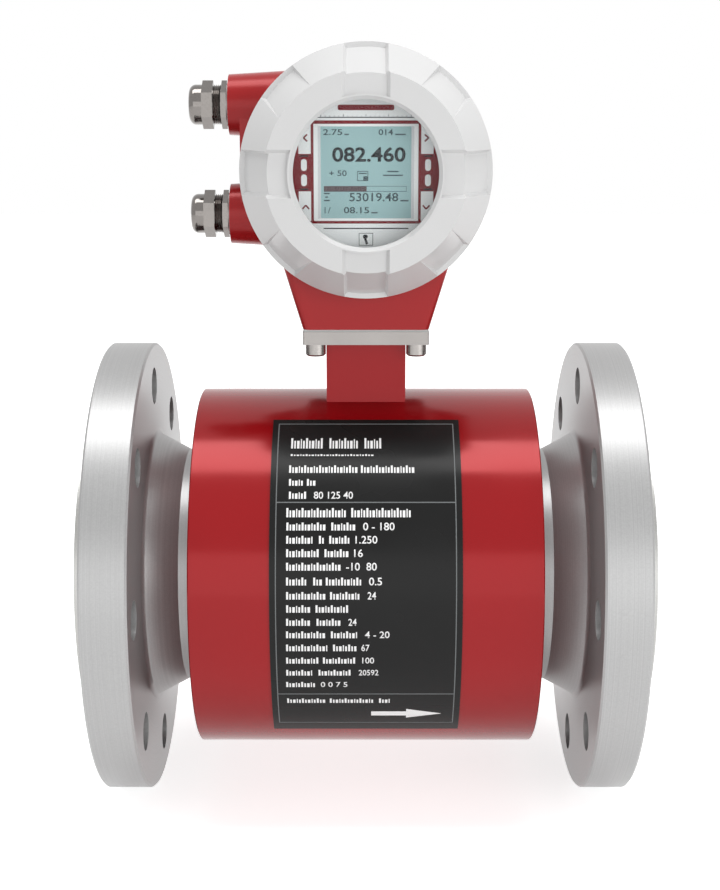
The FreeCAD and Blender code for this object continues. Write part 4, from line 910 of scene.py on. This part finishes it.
def add_word(left, low, width, height):
    """A word as a row of narrow upright strokes, tall and short in turn."""
    strokes, x, count = [], left, 0
    while x + WORD_END < left + width:
        tall = STROKE_TALL[count % len(STROKE_TALL)]
        wide = STROKE_WIDE[count % len(STROKE_WIDE)]
        strokes.append(add_bar(x, low, min(x + wide, left + width), low + height * tall))
        x += wide + STROKE_GAP
        count += 1
    return strokes


row_marks = []
for middle, height, left, widths, figures in WORDS:
    x, low, high = left, middle - height / 2, middle + height / 2
    for width in widths:
        row_marks += add_word(x, low, width, height)
        x += width + WORD_GAP
    if figures:
        reach = x + FIGURE_GAP + FIGURE_WIDTH * height * len(figures)
        row_marks.append(add_figures(figures, x + FIGURE_GAP, low, reach, high, LETTER_WEIGHT))
wrap_on_plate("plate_rows", row_marks, plate_white)
print(len(row_marks), "marks on the plate")

# %% [markdown]
# ## Gland threads
#
# Between the gland's hexagon and its dome nut a short thread shows, with a
# saw-tooth profile. A circle is drawn at the thread's root and extruded along the
# gland's axis in half pitches, once out to the crest and once back to the root.

# %% Thread ridges
ALONG_X = (0, math.radians(90), 0)
THREAD_START, THREAD_END = 0.15, 3.75
THREAD_ROOT, THREAD_CREST = 8.65, 9.3
THREAD_WALL, THREAD_EDGE = 0.3, 0.08
RIDGES, THREAD_STEPS = 4, 96


def make_thread(side):
    """Ridges round one gland, on the collar between its two hexagons."""
    low, high = box_mm("gland_body_" + side)
    nut_end = box_mm("gland_nut_" + side)[1].x
    axis_z = (low.z + high.z) / 2
    start, end = nut_end + THREAD_START, nut_end + THREAD_END
    pitch = (end - start) / RIDGES
    select_nothing()
    bpy.ops.mesh.primitive_circle_add(
        vertices=THREAD_STEPS, radius=THREAD_ROOT * MM, fill_type="NOTHING",
        location=(start * MM, 0, axis_z * MM), rotation=ALONG_X)
    thread = bpy.context.object
    set_in_mesh(thread)
    bpy.ops.object.mode_set(mode="EDIT")
    bpy.ops.mesh.select_mode(type="EDGE")
    bpy.ops.mesh.select_all(action="SELECT")
    radius = THREAD_ROOT
    centre = start
    for step in range(RIDGES * 2):
        bpy.ops.mesh.extrude_region_move(TRANSFORM_OT_translate={"value": (pitch / 2 * MM, 0, 0)})
        centre += pitch / 2
        wanted = THREAD_CREST if step % 2 == 0 else THREAD_ROOT
        share = wanted / radius
        bpy.ops.transform.resize(
            value=(1, share, share), center_override=(centre * MM, 0, axis_z * MM))
        radius = wanted
    bpy.ops.mesh.select_all(action="SELECT")
    bpy.ops.mesh.normals_make_consistent(inside=False)
    bpy.ops.object.mode_set(mode="OBJECT")
    apply_modifier(thread, "SOLIDIFY", thickness=THREAD_WALL * MM, offset=-1.0)
    apply_modifier(thread, "BEVEL", width=THREAD_EDGE * MM, segments=2, limit_method="ANGLE")
    thread.name = "gland_thread_" + side
    hand_over(thread, nickel_plate, "meter")


for side in ("upper", "lower"):
    make_thread(side)

# %% [markdown]
# ## Weld beads
#
# The shell's end plates are welded to the pipe's neck all round, before painting.
# A bead is a string of overlapping drops. It is a thin torus whose cross sections
# swell and shrink in turn. Two slower waves in the swelling keep it from looking
# machined.

# %% Weld beads
WELD_R = 57.6
BEAD_R, BEAD_STEPS, BEAD_SIDES = 2.1, 168, 12
RIPPLES = ((0.10, 60, 0), (0.05, 17, 1), (0.03, 7, 0))  # share of the bead, waves round it, shift


def make_weld(side, name):
    """A rippled bead round the neck, against one end plate."""
    low, high = box_mm("end_plate_" + name)
    face = high.x if side > 0 else low.x
    select_nothing()
    bpy.ops.mesh.primitive_torus_add(
        major_segments=BEAD_STEPS, minor_segments=BEAD_SIDES, major_radius=WELD_R * MM,
        minor_radius=BEAD_R * MM, location=ORIGIN, rotation=ALONG_X)
    bead = bpy.context.object
    set_in_mesh(bead)
    for vertex in bead.data.vertices:
        angle = math.atan2(vertex.co.z, vertex.co.y)
        ripple = 1 + sum(size * math.sin(angle * waves + shift) for size, waves, shift in RIPPLES)
        radius = math.hypot(vertex.co.y, vertex.co.z) / MM
        out = (radius - WELD_R) * ripple
        scale = (WELD_R + out) / radius
        vertex.co = (vertex.co.x * ripple, vertex.co.y * scale, vertex.co.z * scale)
    bead.location = (face * MM, 0, 0)
    set_in_mesh(bead)
    bpy.ops.object.shade_smooth()
    bead.name = "weld_bead_" + name
    hand_over(bead, red_enamel, "meter")


make_weld(-1, "inlet")
make_weld(1, "outlet")

# %% [markdown]
# ## Floor and light
#
# The meter stands on a pale floor. Light is plain and soft: an even sky, a wide
# strip lamp overhead, which draws one long band on everything round, and two weak
# lamps, low on the right and in front, that open the shadows. The background and
# the floor look brighter to the camera, in mirrors and through glass than they
# are as a source of light, so they stay white without washing the meter out.

# %% Floor
FLOOR_SIZE, FLOOR_GAP = 8.0, 0.3
FLOOR_GLOW, STAIN_RATE = 0.70, 3.0
select_nothing()
bpy.ops.mesh.primitive_plane_add(size=FLOOR_SIZE, location=(0, 0, FLOOR_Z - FLOOR_GAP * MM))
floor = bpy.context.object
floor.name = "floor"


def find_seen(tree):
    """One for rays that show a surface to the camera, directly, in a mirror or through glass."""
    path = add_node(tree, "LightPath")
    seen = add_node(tree, "Math", {"operation": "MAXIMUM"}, {
        0: path.outputs["Is Camera Ray"], 1: path.outputs["Is Glossy Ray"]})
    seen = add_node(tree, "Math", {"operation": "MAXIMUM"}, {
        0: seen.outputs["Value"], 1: path.outputs["Is Transmission Ray"]})
    return seen.outputs["Value"]


def make_floor():
    """Matt pale floor that shows white to the camera and keeps the shadows."""
    material, tree, shader, place = start_material("pale_floor", Roughness=0.9)
    stains = add_node(tree, "TexNoise", {}, {"Vector": place, "Scale": STAIN_RATE, "Detail": 2.0})
    colour_surface(tree, shader, stains.outputs["Fac"], "#E2E2E2", "#E6E6E6")
    glow = add_node(tree, "Math", {"operation": "MULTIPLY"}, {0: find_seen(tree), 1: FLOOR_GLOW})
    tree.links.new(glow.outputs["Value"], shader.inputs["Emission Strength"])
    shader.inputs["Emission Color"].default_value = linear(WHITE)
    return material


floor.data.materials.append(make_floor())
print("floor at", floor.location.z)

# %% [markdown]
# The sky gives half of full white as light. A lamp's share says how bright it
# makes a white surface that faces it, and its power follows from its distance.

# %% Sky and lamps
SKY = 0.50
world = bpy.data.worlds.new("studio")
world.use_nodes = True
bpy.context.scene.world = world
tree = world.node_tree
strength = add_node(tree, "MapRange", {}, {"Value": find_seen(tree), "To Min": SKY, "To Max": 1.0})
background = tree.nodes["Background"]
background.inputs["Color"].default_value = linear(WHITE)
tree.links.new(strength.outputs["Result"], background.inputs["Strength"])


def add_lamp(name, place, target, width, depth, share):
    """A soft lamp. Its share is how much of a white surface's brightness it gives, face on."""
    data = bpy.data.lights.new(name, "AREA")
    data.shape = "RECTANGLE"
    data.size = width
    data.size_y = depth
    lamp = bpy.data.objects.new(name, data)
    lamp.location = place
    way = Vector(target) - Vector(place)
    data.energy = share * math.pi ** 2 * way.length_squared
    lamp.rotation_euler = way.to_track_quat("-Z", "Y").to_euler()
    bpy.context.scene.collection.objects.link(lamp)


MIDDLE = (0, 0, 0.07)
add_lamp("strip", (0.0, -0.12, 2.3), MIDDLE, 3.0, 1.0, 0.90)
add_lamp("side", (1.6, -1.8, 0.3), MIDDLE, 1.4, 1.4, 0.36)
add_lamp("front", (-0.2, -2.2, 0.3), MIDDLE, 2.4, 1.2, 0.18)
print("sky", SKY, "and three lamps")
